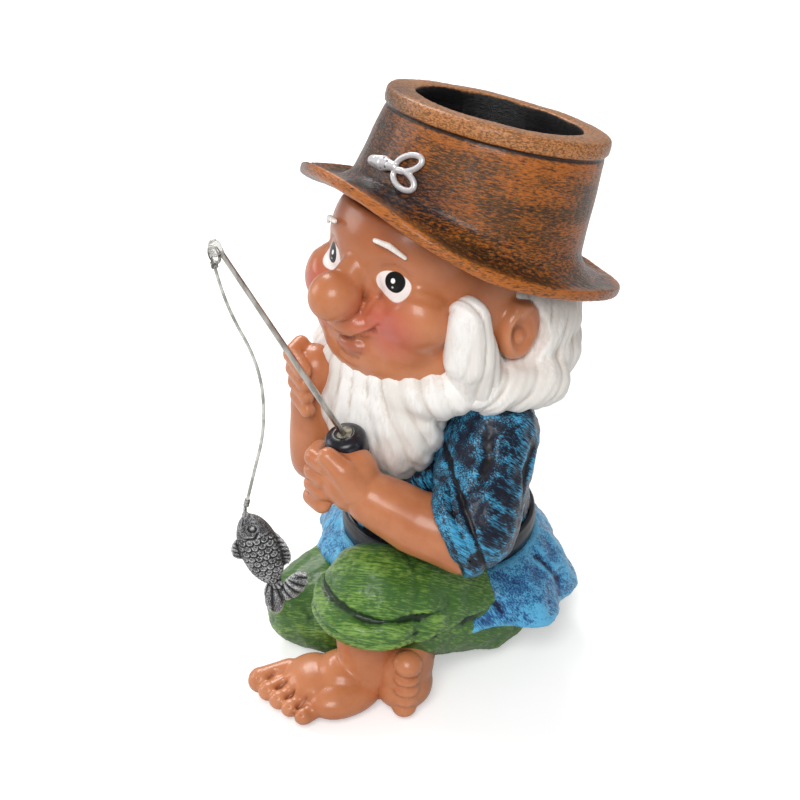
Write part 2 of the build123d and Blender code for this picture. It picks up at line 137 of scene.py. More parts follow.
floor_mesh = bmesh.new()
bmesh.ops.create_circle(floor_mesh, cap_ends=True, segments=96, radius=4)
floor_data = bpy.data.meshes.new("floor")
floor_mesh.to_mesh(floor_data)
floor_mesh.free()
floor = bpy.data.objects.new("floor", floor_data)
floor.data.materials.append(floor_paint)
bpy.context.collection.objects.link(floor)


def soft_light(name, place, size, watts, warmth=(1, 1, 1)):
    lamp = bpy.data.lights.new(name, "AREA")
    lamp.size, lamp.energy, lamp.color = size, watts, warmth
    lamp_object = bpy.data.objects.new(name, lamp)
    lamp_object.location = place
    aim = Vector((0, -0.02, 0.1)) - Vector(place)
    lamp_object.rotation_euler = aim.to_track_quat("-Z", "Y").to_euler()
    bpy.context.collection.objects.link(lamp_object)


soft_light("key_light", (0.55, -0.75, 0.95), 0.6, 9.6)
soft_light("back_light", (-0.85, 0.35, 1.0), 0.6, 9.0)
soft_light("side_light", (-0.9, -0.55, 0.45), 0.5, 2.6)
world = bpy.data.worlds.new("studio")
bpy.context.scene.world = world
world.use_nodes = True
world_tree = world.node_tree
sky = world_tree.nodes["Background"]
world_ray = world_tree.nodes.new("ShaderNodeLightPath")
world_seen = world_tree.nodes.new("ShaderNodeMath")
world_seen.operation = "MAXIMUM"
plug(world_tree, world_ray.outputs["Is Camera Ray"], world_seen.inputs[0])
plug(world_tree, world_ray.outputs["Is Transmission Ray"], world_seen.inputs[1])
world_level = world_tree.nodes.new("ShaderNodeMapRange")
world_level.inputs["To Min"].default_value = 0.37
world_level.inputs["To Max"].default_value = 1.0
plug(world_tree, world_seen.outputs[0], world_level.inputs["Value"])
plug(world_tree, world_level.outputs["Result"], sky.inputs["Strength"])
sky.inputs["Color"].default_value = (1, 1, 1, 1)
print("lights set")

# %% [markdown]
# Clay comes first. A ball is a stretched icosphere and a limb is a tapered roll with round ends.
# Lumps overlap freely, because a voxel remesh kneads all of them into one closed skin, which a
# few rounds of smoothing then make flow like sculpted clay.

# %% Clay lumps
def ball(clay, centre, radii, turn=(0, 0, 0), fine=4):
    """A stretched ball of clay, with its turn in degrees."""
    place = Matrix.Translation(Vector(centre) / 1000) @ Euler([radians(t) for t in turn]).to_matrix().to_4x4()
    bmesh.ops.create_icosphere(
        clay, subdivisions=fine, radius=1, matrix=place @ Matrix.Diagonal([*(r / 1000 for r in radii), 1])
    )


def limb(clay, start, end, start_radius, end_radius):
    """A tapered roll of clay with a ball at each end."""
    a, b = Vector(start) / 1000, Vector(end) / 1000
    turn = Vector((0, 0, 1)).rotation_difference(b - a).to_matrix().to_4x4()
    bmesh.ops.create_cone(
        clay, cap_ends=True, segments=40, radius1=start_radius / 1000, radius2=end_radius / 1000,
        depth=(b - a).length, matrix=Matrix.Translation((a + b) / 2) @ turn,
    )
    ball(clay, start, (start_radius,) * 3, fine=3)
    ball(clay, end, (end_radius,) * 3, fine=3)


def slice_off(clay, point, away):
    """Cuts the clay with a wire and closes the cut."""
    bmesh.ops.bisect_plane(
        clay, geom=clay.verts[:] + clay.edges[:] + clay.faces[:], plane_co=Vector(point) / 1000,
        plane_no=Vector(away), clear_outer=True,
    )
    bmesh.ops.holes_fill(clay, edges=clay.edges[:], sides=0)


def set_down(piece):
    """Applies the modifiers."""
    done = bpy.data.meshes.new_from_object(piece.evaluated_get(bpy.context.evaluated_depsgraph_get()))
    old = piece.data
    piece.modifiers.clear()
    piece.data = done
    bpy.data.meshes.remove(old)


def knead(piece, grain, rounds, factor=0.5):
    """One closed skin round all the lumps, then smoothing."""
    skin = piece.modifiers.new("skin", "REMESH")
    skin.mode, skin.voxel_size = "VOXEL", grain / 1000
    soft = piece.modifiers.new("soft", "SMOOTH")
    soft.factor, soft.iterations = factor, rounds
    set_down(piece)


def model(clay, name, grain=0.7, rounds=6):
    mesh = bpy.data.meshes.new(name)
    clay.to_mesh(mesh)
    clay.free()
    piece = bpy.data.objects.new(name, mesh)
    bpy.context.collection.objects.link(piece)
    knead(piece, grain, rounds)
    return piece


print("clay tools ready")

# %% [markdown]
# Sculpting tools move the skin along its own normals. `score` draws a groove or, with a negative
# depth, a ridge along a path. `swell` raises or dents a soft round area, and `hollow` presses a
# ball-shaped bed into the clay along one axis.

# %% Sculpting tools
def skin_of(piece):
    mesh = piece.data
    points = np.empty(len(mesh.vertices) * 3)
    mesh.vertices.foreach_get("co", points)
    ways = np.empty(len(mesh.vertices) * 3)
    mesh.vertex_normals.foreach_get("vector", ways)
    return points.reshape(-1, 3) * 1000, ways.reshape(-1, 3)


def reshape(piece, points):
    piece.data.vertices.foreach_set("co", (points / 1000).ravel())
    piece.data.update()


def to_path(points, path):
    """How far each point is from a path, and how far along it the nearest place is."""
    near, along = np.full(len(points), 1e9), np.zeros(len(points))
    for k, (a, b) in enumerate(zip(path[:-1], path[1:])):
        t = np.clip((points - a) @ (b - a) / ((b - a) @ (b - a) + 1e-9), 0, 1)
        gap = np.linalg.norm(points - a - t[:, None] * (b - a), axis=1)
        closer = gap < near
        near[closer], along[closer] = gap[closer], (k + t[closer]) / (len(path) - 1)
    return near, along


def score(piece, path, width, depth, ignore=None, facing=None, ends=0.15):
    points, ways = skin_of(piece)
    flat, route = points.copy(), np.array(path, float)
    if ignore is not None:
        flat[:, ignore] = 0
        route[:, ignore] = 0
    near, along = to_path(flat, route)
    press = np.clip(1 - near / width, 0, 1)
    press = press * press * (3 - 2 * press) * np.clip(np.minimum(along, 1 - along) / 0.2, ends, 1)
    if facing is not None:
        press *= np.clip(ways @ np.array(facing, float) * 3, 0, 1)
    reshape(piece, points - depth * press[:, None] * ways)


def swell(piece, centre, radii, height, toward=None):
    points, ways = skin_of(piece)
    reach = np.linalg.norm((points - np.array(centre)) / np.array(radii), axis=1)
    lift = np.clip(1 - reach ** 2, 0, 1) ** 2
    push = ways if toward is None else np.array(toward, float) / np.linalg.norm(toward)
    reshape(piece, points + height * lift[:, None] * push)


def hollow(piece, centre, radii, axis, side):
    points, _ = skin_of(piece)
    local = (points - np.array(centre)) / np.array(radii)
    others = [k for k in range(3) if k != axis]
    flat = 1 - (local[:, others] ** 2).sum(1)
    inside = (flat > 0) & (np.abs(local[:, axis]) < np.sqrt(np.clip(flat, 0, 1)))
    points[inside, axis] = centre[axis] + side * radii[axis] * np.sqrt(flat[inside])
    reshape(piece, points)


def ripple(points, size, seed):
    """Smooth random height from -1 to 1 with bumps of about that size, as hand modelling leaves."""
    rng = np.random.default_rng(seed)
    total = np.zeros(len(points))
    for _ in range(12):
        way = rng.normal(size=3)
        way *= 2 * pi / (size * rng.uniform(0.7, 1.6)) / np.linalg.norm(way)
        total += np.sin(points @ way + rng.uniform(0, 2 * pi))
    return total / 4.5


def hand_marks(piece, size, height, seed):
    points, ways = skin_of(piece)
    reshape(piece, points + height * ripple(points, size, seed)[:, None] * ways)


def weld(first, *others):
    """Several finished skins in one piece."""
    whole = bmesh.new()
    for piece in (first, *others):
        whole.from_mesh(piece.data)
    whole.to_mesh(first.data)
    whole.free()
    for piece in others:
        bpy.data.objects.remove(piece)
    return first


print("sculpting tools ready")

# %% [markdown]
# Dry brushing is what makes such a casting look hand painted: a dark coat goes on first, and a
# nearly dry brush of a lighter paint catches only the raised places. Each skin therefore
# carries an attribute that says how far every spot stands out from a smoothed copy of itself.

# %% Raised places
def mark_raised(piece, rounds=10, full=0.22):
    mesh = piece.data
    points, ways = skin_of(piece)
    ends = np.empty(len(mesh.edges) * 2, int)
    mesh.edges.foreach_get("vertices", ends)
    a, b = ends.reshape(-1, 2).T
    count = np.bincount(a, minlength=len(points)) + np.bincount(b, minlength=len(points))
    smooth = points.copy()
    for _ in range(rounds):
        total = np.empty_like(smooth)
        for k in range(3):
            total[:, k] = np.bincount(a, smooth[b, k], len(points)) + np.bincount(b, smooth[a, k], len(points))
        smooth = total / count[:, None]
    height = ((points - smooth) * ways).sum(1)
    layer = mesh.attributes.new("raised", "FLOAT", "POINT")
    layer.data.foreach_set("value", np.clip(0.5 + height / full / 2, 0, 1))


def finish_piece(piece, body, paint, slot, *replaced, full=0.3):
    """Smooth shading, raised places, paint, and its place in the frame."""
    points, _ = skin_of(piece)
    points[:, 2] = np.maximum(points[:, 2], 0.05)
    reshape(piece, points)
    mark_raised(piece, full=full)
    piece.data.materials.clear()
    piece.data.materials.append(paint)
    piece.data.polygons.foreach_set("use_smooth", [True] * len(piece.data.polygons))
    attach(piece, body)
    if replaced:
        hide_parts(*replaced)
    print(piece.name, "has", len(piece.data.polygons), "faces")


# %% [markdown]
# The paint effects are node groups. `dry brush` mixes a dark colour for the grooves, a base coat
# and a brushed coat; the groove colour is a wash on most paints and painted shade on the hair.
# `brush strokes` is a noise drawn out along one direction, for the streaks of bristles. Each
# paint gives them its own colours and sizes.

# %% Paint groups
def new_group(name, takes, gives):
    group = bpy.data.node_groups.new(name, "ShaderNodeTree")
    for label, kind, value in takes:
        item = group.interface.new_socket(label, in_out="INPUT", socket_type=kind)
        item.default_value = value
    for label, kind in gives:
        group.interface.new_socket(label, in_out="OUTPUT", socket_type=kind)
    return group, group.nodes.new("NodeGroupInput"), group.nodes.new("NodeGroupOutput")


def node(tree, kind, settings=None, values=None):
    made = tree.nodes.new(kind)
    for key, value in (settings or {}).items():
        setattr(made, key, value)
    for key, value in (values or {}).items():
        made.inputs[key].default_value = value
    return made


def remap(tree, value, low, high, out_low=0.0, out_high=1.0):
    step = node(tree, "ShaderNodeMapRange", {"interpolation_type": "SMOOTHSTEP"}, {
        "From Min": low, "From Max": high, "To Min": out_low, "To Max": out_high})
    plug(tree, value, step.inputs["Value"])
    return step.outputs["Result"]


def mix(tree, share, under, over):
    """A colour mix; under and over are sockets or colours."""
    blend = node(tree, "ShaderNodeMix", {"data_type": "RGBA"})
    plug(tree, share, blend.inputs[0])
    for colour, k in ((under, 6), (over, 7)):
        if isinstance(colour, tuple):
            blend.inputs[k].default_value = colour
        else:
            plug(tree, colour, blend.inputs[k])
    return blend.outputs[2]


def sums(tree, kind, first, second):
    step = node(tree, "ShaderNodeMath", {"operation": kind, "use_clamp": False})
    for k, value in enumerate((first, second)):
        if isinstance(value, (int, float)):
            step.inputs[k].default_value = value
        else:
            plug(tree, value, step.inputs[k])
    return step.outputs[0]


brush_group, brush_in, brush_out = new_group(
    "dry brush",
    [("Wash and shade", "NodeSocketColor", (0, 0, 0, 1)), ("Base", "NodeSocketColor", (0.5, 0.5, 0.5, 1)),
     ("Brushed", "NodeSocketColor", (1, 1, 1, 1)), ("Raised", "NodeSocketFloat", 0.5),
     ("Strokes", "NodeSocketFloat", 0.5), ("Coverage", "NodeSocketFloat", 0.5)],
    [("Color", "NodeSocketColor"), ("Mask", "NodeSocketFloat")],
)
catch = sums(brush_group, "ADD", brush_in.outputs["Raised"], brush_in.outputs["Strokes"])
catch = sums(brush_group, "ADD", catch, brush_in.outputs["Coverage"])
catch = remap(brush_group, catch, 1.05, 1.95)
# Where the groove colour goes: a dark wash on most paints, painted shade on the hair.
wash_and_shade = remap(brush_group, brush_in.outputs["Raised"], 0.05, 0.44, 1.0, 0.0)
coat = mix(brush_group, wash_and_shade, brush_in.outputs["Base"], brush_in.outputs["Wash and shade"])
plug(brush_group, mix(brush_group, catch, coat, brush_in.outputs["Brushed"]), brush_out.inputs["Color"])
plug(brush_group, catch, brush_out.inputs["Mask"])

stroke_group, stroke_in, stroke_out = new_group(
    "brush strokes",
    [("Vector", "NodeSocketVector", (0, 0, 0)), ("Size", "NodeSocketFloat", 700.0)],
    [("Strokes", "NodeSocketFloat"), ("Patches", "NodeSocketFloat")],
)
bristles = node(stroke_group, "ShaderNodeTexNoise", None, {"Detail": 4.0, "Roughness": 0.65})
plug(stroke_group, stroke_in.outputs["Vector"], bristles.inputs["Vector"])
plug(stroke_group, stroke_in.outputs["Size"], bristles.inputs["Scale"])
patches = node(stroke_group, "ShaderNodeTexNoise", None, {"Detail": 2.0})
plug(stroke_group, stroke_in.outputs["Vector"], patches.inputs["Vector"])
plug(stroke_group, sums(stroke_group, "MULTIPLY", stroke_in.outputs["Size"], 0.06), patches.inputs["Scale"])
plug(stroke_group, remap(stroke_group, bristles.outputs["Fac"], 0.3, 0.7), stroke_out.inputs["Strokes"])
plug(stroke_group, remap(stroke_group, patches.outputs["Fac"], 0.35, 0.65), stroke_out.inputs["Patches"])
print("paint groups:", brush_group.name, "and", stroke_group.name)


# %% Paint maker
def start_paint(name, roughness=0.4, coat=0.0):
    paint = bpy.data.materials.new(name)
    paint.use_nodes = True
    shader = paint.node_tree.nodes["Principled BSDF"]
    shader.inputs["Roughness"].default_value = roughness
    shader.inputs["Coat Weight"].default_value = coat
    shader.inputs["Coat Roughness"].default_value = 0.18
    shader.inputs["Specular IOR Level"].default_value = 0.32
    return paint, paint.node_tree, shader


def place_of(tree, turn=(0, 0, 0), stretch=(1, 1, 1), twist=0.0):
    """Object coordinates, turned and stretched for strokes along one direction. A twist makes
    upright strokes climb round the figure like the stripes of a pole."""
    coords = tree.nodes.new("ShaderNodeTexCoord").outputs["Object"]
    if twist:
        axes = node(tree, "ShaderNodeSeparateXYZ")
        plug(tree, coords, axes.inputs[0])
        screw = node(tree, "ShaderNodeVectorRotate", {"rotation_type": "Z_AXIS"})
        plug(tree, coords, screw.inputs["Vector"])
        plug(tree, sums(tree, "MULTIPLY", axes.outputs["Z"], twist), screw.inputs["Angle"])
        coords = screw.outputs["Vector"]
    turned = node(tree, "ShaderNodeMapping", {"vector_type": "POINT"}, {
        "Rotation": [radians(t) for t in turn], "Scale": (1, 1, 1)})
    drawn = node(tree, "ShaderNodeMapping", {"vector_type": "POINT"}, {"Scale": stretch})
    plug(tree, coords, turned.inputs["Vector"])
    plug(tree, turned.outputs["Vector"], drawn.inputs["Vector"])
    return drawn.outputs["Vector"]


def dry_brushed(name, wash_and_shade, base, brushed, coverage, turn, stretch, size, roughness=0.4, coat=0.25,
                bump=0.3, patchiness=0.5, twist=0.0):
    paint, tree, shader = start_paint(name, roughness, coat)
    raised = node(tree, "ShaderNodeAttribute", {"attribute_name": "raised"}).outputs["Fac"]
    strokes = node(tree, "ShaderNodeGroup", {"node_tree": stroke_group}, {"Size": size})
    plug(tree, place_of(tree, turn, stretch, twist), strokes.inputs["Vector"])
    cover = remap(tree, strokes.outputs["Patches"], 0.0, 1.0, coverage - patchiness, coverage + patchiness)
    dab = node(tree, "ShaderNodeGroup", {"node_tree": brush_group}, {
        "Wash and shade": wash_and_shade, "Base": base, "Brushed": brushed})
    plug(tree, raised, dab.inputs["Raised"])
    plug(tree, strokes.outputs["Strokes"], dab.inputs["Strokes"])
    plug(tree, cover, dab.inputs["Coverage"])
    plug(tree, dab.outputs["Color"], shader.inputs["Base Color"])
    relief = node(tree, "ShaderNodeBump", None, {"Strength": bump, "Distance": 0.0003})
    plug(tree, strokes.outputs["Strokes"], relief.inputs["Height"])
    plug(tree, relief.outputs["Normal"], shader.inputs["Normal"])
    return paint, tree, shader, dab, strokes


print("paint maker ready")
# %% [markdown]
# The paints of this figure: a terracotta skin glaze, a chalky white for the hair, navy under
# bright blue for the shirt, dark under leaf green for the trousers, and near black under rust
# orange for the hat. Each keeps its dark coat in the grooves, except the hair, whose warm grey
# in the grooves is painted shade.

# %% Clothes and hair paints
shirt_paint = dry_brushed(
    "shirt_paint", tint(3, 4, 12), tint(6, 13, 36), tint(72, 172, 218), 0.0, (0, 0, 0), (1.0, 1.0, 0.11), 2100,
    roughness=0.34, coat=0.2, patchiness=0.22, twist=20.0)[0]
hem_paint = dry_brushed(
    "hem_paint", tint(8, 18, 52), tint(22, 76, 136), tint(98, 188, 232), 0.44, (0, 0, 0), (1.0, 1.0, 0.12), 2000,
    roughness=0.34, coat=0.2, patchiness=0.22, twist=14.0)[0]
trouser_paint = dry_brushed(
    "trouser_paint", tint(20, 44, 16), tint(62, 104, 42), tint(128, 166, 76), 0.16, (35, 25, 0), (0.12, 0.12, 1.0), 2300,
    roughness=0.4, coat=0.25, patchiness=0.18)[0]
# The hair's warm grey in the grooves is painted shade.
white_hair = dry_brushed(
    "white_hair", tint(214, 204, 194), tint(234, 229, 222), tint(246, 243, 239), 0.3, (0, 0, 0), (1, 1, 0.2), 900,
    roughness=0.45, coat=0.15, bump=0.1)[0]
print("clothes and hair paints mixed")

# %% [markdown]
# The skin is a terracotta glaze, darker in the creases, where it is painted shade as well as
# glaze that pools there, and lighter on raised places as a painted highlight. The face is painted
# on it before the gloss: each painted spot is the inside of a small ball, measured in its own turned
# and stretched coordinates, so its edge stays sharp at any distance. The forehead gets a painted
# shadow of the brim, and each eye two painted highlights.

# %% Skin paint
def spot(tree, centre, radii, turn=(0, 0, 0), edge=0.04):
    """A painted spot: 1 inside a stretched ball, 0 outside."""
    coords = tree.nodes.new("ShaderNodeTexCoord").outputs["Object"]
    local = node(tree, "ShaderNodeMapping", {"vector_type": "TEXTURE"}, {
        "Location": [c / 1000 for c in centre], "Rotation": [radians(t) for t in turn],
        "Scale": [r / 1000 for r in radii]})
    plug(tree, coords, local.inputs["Vector"])
    size = node(tree, "ShaderNodeVectorMath", {"operation": "LENGTH"})
    plug(tree, local.outputs["Vector"], size.inputs[0])
    return remap(tree, size.outputs["Value"], 1 - edge, 1 + edge, 1.0, 0.0)


def skin_base(name):
    paint, tree, shader = start_paint(name, 0.35, 0.35)
    raised = node(tree, "ShaderNodeAttribute", {"attribute_name": "raised"}).outputs["Fac"]
    blotch = node(tree, "ShaderNodeTexNoise", None, {"Scale": 46.0, "Detail": 5.0, "Roughness": 0.6})
    plug(tree, place_of(tree), blotch.inputs["Vector"])
    colour = mix(tree, remap(tree, blotch.outputs["Fac"], 0.3, 0.7), tint(182, 108, 66), tint(202, 130, 88))
    # Painted highlight on the raised places; then darker creases, painted shade together with glaze pooling there.
    colour = mix(tree, remap(tree, raised, 0.55, 1.0, 0.0, 0.6), colour, tint(216, 150, 112))
    colour = mix(tree, remap(tree, raised, 0.0, 0.42, 0.75, 0.0), colour, tint(124, 62, 34))
    grain = node(tree, "ShaderNodeTexNoise", None, {"Scale": 900.0, "Detail": 3.0})
    plug(tree, place_of(tree), grain.inputs["Vector"])
    relief = node(tree, "ShaderNodeBump", None, {"Strength": 0.08, "Distance": 0.0002})
    plug(tree, grain.outputs["Fac"], relief.inputs["Height"])
    plug(tree, relief.outputs["Normal"], shader.inputs["Normal"])
    return paint, tree, shader, colour


skin_paint, skin_tree, skin_shader, skin_colour = skin_base("skin_paint")
plug(skin_tree, skin_colour, skin_shader.inputs["Base Color"])

face_paint, face_tree, face_shader, face_colour = skin_base("face_paint")
for side in (1, -1):
    rosy = spot(face_tree, (side * 17, -42, 135.5), (9, 9, 9), edge=0.9)
    rosy = sums(face_tree, "MULTIPLY", rosy, 0.55)
    face_colour = mix(face_tree, rosy, face_colour, tint(196, 64, 78))
# Painted shadow of the brim across the forehead.
brim_shadow = spot(face_tree, (0, -26, 172), (44, 30, 24), (-25, 0, 0), edge=0.6)
face_colour = mix(face_tree, sums(face_tree, "MULTIPLY", brim_shadow, 0.6), face_colour, tint(146, 80, 46))
lip = spot(face_tree, (0.8, -42, 124), (7, 8, 2.8), edge=0.4)
face_colour = mix(face_tree, sums(face_tree, "MULTIPLY", lip, 0.55), face_colour, tint(150, 74, 62))
for side in (1, -1):
    eye_x = 14.8 if side > 0 else -13.7
    white = spot(face_tree, (eye_x - 0.2 * side, -34.5, 147.9), (6.2, 9, 4.5), (0, side * 12, side * 22))
    face_colour = mix(face_tree, white, face_colour, tint(244, 234, 230))
    iris = spot(face_tree, (eye_x + 0.3 * side, -34.1, 149.2), (3.4, 8, 3.4), (0, 0, side * 22))
    face_colour = mix(face_tree, iris, face_colour, tint(6, 5, 5))
    pupils = iris if side > 0 else sums(face_tree, "MAXIMUM", pupils, iris)
    # Two painted highlights in each eye.
    glint = spot(face_tree, (eye_x + 0.4 * side, -36, 149.6), (0.75, 6, 0.8), (0, 0, side * 22), edge=0.2)
    face_colour = mix(face_tree, glint, face_colour, tint(250, 250, 250))
    glint = spot(face_tree, (eye_x + 0.4 * side, -36, 147.5), (0.35, 6, 0.35), (0, 0, side * 22), edge=0.3)
    face_colour = mix(face_tree, glint, face_colour, tint(210, 205, 205))
plug(face_tree, face_colour, face_shader.inputs["Base Color"])
plug(face_tree, remap(face_tree, pupils, 0.0, 1.0, 0.35, 0.0), face_shader.inputs["Coat Weight"])
print("skin and face paints mixed")

# %% [markdown]
# The head is the largest casting: a skull with a full forehead, round cheeks, a bulb of a nose
# and two ears. The eyes bulge from shallow sockets, and the smile is a groove under the
# rounded upper lip. A lump at a time is kneaded in, then the features are pressed.

# %% Head
clay = bmesh.new()
ball(clay, (0, -3, 137), (35, 35, 36), fine=5)
ball(clay, (0, -14, 151), (28, 25.2, 27), fine=5)
ball(clay, (0, -19.5, 120.5), (28.5, 22, 17), fine=5)
limb(clay, (0, 0, 98), (0, -4, 117), 17, 18)
for side in (1, -1):
    ball(clay, (side * 18, -28.2, 136.5), (13.6, 11.4, 12.4))
    ball(clay, (side * 13, -27, 127), (14, 12.5, 12))
    ball(clay, (side * 36.5, -1, 129), (5, 8, 10.5), (-12, 0, 0))
slice_off(clay, (0, 5.6, 150.5), (0.06, sin(radians(25.3)), cos(radians(25.3))))
head = model(clay, "head_casting", 0.7, 36)
nose = bmesh.new()
nose.from_mesh(head.data)
ball(nose, (0, -46.3, 142.6), (8.5, 8.9, 8.3))
limb(nose, (0, -34, 153), (0, -42, 145), 4.8, 6)
ball(nose, (0, -38.4, 132.6), (10.6, 8.4, 5.8))
ball(nose, (0.8, -39.3, 124.0), (6.8, 4.4, 3.2))
for side in (1, -1):
    ball(nose, (side * 10, -35.8, 136.5), (6.5, 5.2, 6.5))
bpy.data.objects.remove(head)
head = model(nose, "head_casting", 0.6, 12)
for side in (1, -1):
    swell(head, (side * 13.8, -36, 149), (10, 12, 10), -2.6)
    swell(head, (side * 13.8, -35, 148), (7, 10, 6.6), 2.6)
    score(head, [(side * 8.6, -36, 150.6), (side * 11, -36, 153.2), (side * 14.5, -36, 154.3), (side * 18, -34, 152.8),
                 (side * 20.4, -32, 149)], 1.1, 0.3, ignore=1, facing=(0, -1, 0))
    score(head, [(side * 20.5, -35, 146.8), (side * 25, -32, 146), (side * 29, -26, 141.5)], 2.6, 0.35)
    score(head, [(side * 8.5, -42, 152), (side * 10.5, -42, 146), (side * 9.5, -42, 139), (side * 5.5, -42, 135.2)],
          1.5, 0.25, ignore=1, facing=(0, -1, 0))
    swell(head, (side * 41, -2, 129), (5.5, 6.0, 8.2), -4.6, (side, 0, 0))
    swell(head, (side * 38, -1.5, 127.5), (5, 2.6, 3.2), 2.0, (side, 0, 0))
    score(head, [(side * 40, -6, 134), (side * 41, -2, 138), (side * 41, 3, 137), (side * 41, 6.5, 131), (side * 40, 5, 124),
                 (side * 39, 0, 119.5)], 2.2, -0.9, ignore=0, facing=(side, 0, 0), ends=0.6)
score(head, [(-13, -36, 132.6), (-9, -40, 129), (-4, -42, 127.2), (1, -42, 127.2), (6, -41, 128.8), (10.5, -38, 131.8),
             (13.6, -36, 135.2)], 1.3, 1.9, ignore=1, facing=(0, -1, 0), ends=0.5)
score(head, [(-5, -38, 119.8), (0.8, -38, 119), (6, -38, 120.4)], 2.2, 0.7, ignore=1, facing=(0, -1, 0))
score(head, [(-4.5, -50, 135.8), (0, -52, 135.2), (4.5, -50, 135.8)], 1.3, 0.7, ignore=1, facing=(0, -1, -0.5))
hand_marks(head, 14, 0.12, 3)
finish_piece(head, "gnome", face_paint, "skin_paint", "head", full=0.7)

# %% [markdown]
# The eyebrows are short raised strokes of white. Each is a thin roll pressed on the forehead.

# %% Eyebrows
clay = bmesh.new()
for side in (1, -1):
    for a, b, ra, rb in (((9.6, -37.6, 162.6), (14.2, -36, 161.8), 0.8, 1.05), ((14.2, -36, 161.8), (18.4, -33, 158.2), 1.05, 0.7)):
        limb(clay, (side * a[0], a[1], a[2]), (side * b[0], b[1], b[2]), ra, rb)
brows = model(clay, "eyebrows", 0.3, 3)
finish_piece(brows, "gnome", white_hair, "hair_paint")

# %% [markdown]
# Hair and beard are combed in the clay with a modelling tool: broad locks first, and finer
# lines in them. The comb works on a coordinate that runs across the locks, bent by a slow
# wave, so the locks sway as they fall and never run perfectly parallel.

# %% Comb
def comb(piece, across, spacing, depth, seed, sharp=0.6):
    """Valleys between locks, where the coordinate across them passes each whole number."""
    points, ways = skin_of(piece)
    phase = across(points) / spacing + 0.12 * ripple(points, 24, seed)
    ridge = np.abs(np.sin(pi * phase)) ** sharp
    height = 1 + 0.35 * ripple(points, 9, seed + 1)
    reshape(piece, points + depth * (ridge - 0.6)[:, None] * height[:, None] * ways)


def around(points, middle, radius):
    """Distance round the head from the middle of the back, and height."""
    angle = np.arctan2(points[:, 0] - middle[0], points[:, 1] - middle[1])
    return radius * angle, points[:, 2]


def hair_across(points):
    round_way, height = around(points, (0, 8), 44)
    drop = np.clip((150 - height) / 50, 0, 1.3)
    return round_way * (1 - 0.3 * drop ** 1.6)


def beard_across(points):
    round_way = 38 * np.arctan2(points[:, 0], -(points[:, 1] + 4))
    height = points[:, 2]
    return round_way * (1 + 0.012 * (height - 100)) + 2.4 * np.sin(height / 9 + round_way / 16)


def ruffle(piece, low, tall, reach, seed):
    """A lower edge that ends in uneven tufts."""
    points, _ = skin_of(piece)
    share = np.clip((low + tall - points[:, 2]) / tall, 0, 1)
    points[:, 2] += reach * share * ripple(points * (1, 1, 0.1), 6, seed)
    reshape(piece, points)


# %% Hair
clay = bmesh.new()
ball(clay, (0, 9.5, 125), (43, 37, 30), fine=5)
ball(clay, (0, 12.5, 112.5), (43.6, 32.4, 19), fine=5)
slice_off(clay, (0, -6, 120), (0, -1, 0))
for side in (1, -1):
    limb(clay, (side * 34, -12, 110), (side * 40, 8, 109), 8.0, 9.0)
slice_off(clay, (0, 5.6, 151), (0, sin(radians(25.3)), cos(radians(25.3))))
hair = model(clay, "hair_casting", 0.7, 8)
for side in (1, -1):
    hollow(hair, (side * 46, -2, 129), (18, 10, 13), 0, -side)
knead(hair, 0.7, 6)
comb(hair, hair_across, 9.0, 1.1, 11, 0.9)
comb(hair, hair_across, 3.0, 0.3, 15, 1.0)
ruffle(hair, 97, 12, 1.2, 5)
hand_marks(hair, 7, 0.12, 8)
finish_piece(hair, "gnome", white_hair, "hair_paint", "hair", full=0.6)

# %% Beard and sideburns
clay = bmesh.new()
ball(clay, (0, -27, 95), (26, 17, 24.5), fine=5)
ball(clay, (0, -20, 109.5), (35.5, 20.5, 14.5), fine=5)
beard = model(clay, "beard_casting", 0.7, 8)
hollow(beard, (0, -47, 128.5), (24, 26, 14.5), 1, 1)
knead(beard, 0.7, 5)
comb(beard, beard_across, 8.6, 1.25, 21, 0.9)
comb(beard, beard_across, 3.4, 0.22, 25, 1.0)
ruffle(beard, 72, 14, 1.8, 31)
hand_marks(beard, 7, 0.15, 9)
clay = bmesh.new()
for side in (1, -1):
    limb(clay, (side * 31.8, -14, 111), (side * 33.6, -18.4, 124), 8.2, 8.8)
    limb(clay, (side * 33.6, -18.8, 124), (side * 34, -20.3, 136 + 3 * side), 9.0, 6.8)
sideburns = model(clay, "sideburns", 0.6, 8)
comb(sideburns, lambda p: p[:, 1] + 0.16 * p[:, 2] + 2.6 * np.sin(p[:, 2] / 8), 5.4, 0.9, 41, 0.9)
comb(sideburns, lambda p: p[:, 1] + 0.16 * p[:, 2] + 2.6 * np.sin(p[:, 2] / 8), 2.2, 0.15, 45, 1.0)
weld(beard, sideburns)
finish_piece(beard, "gnome", white_hair, "hair_paint", "beard", full=0.6)

# %% [markdown]
# The shirt is three castings: the body, the belt and the flared hem, with two short sleeves.
# Folds are grooves that spring from the elbow and the belt, where cloth bunches.

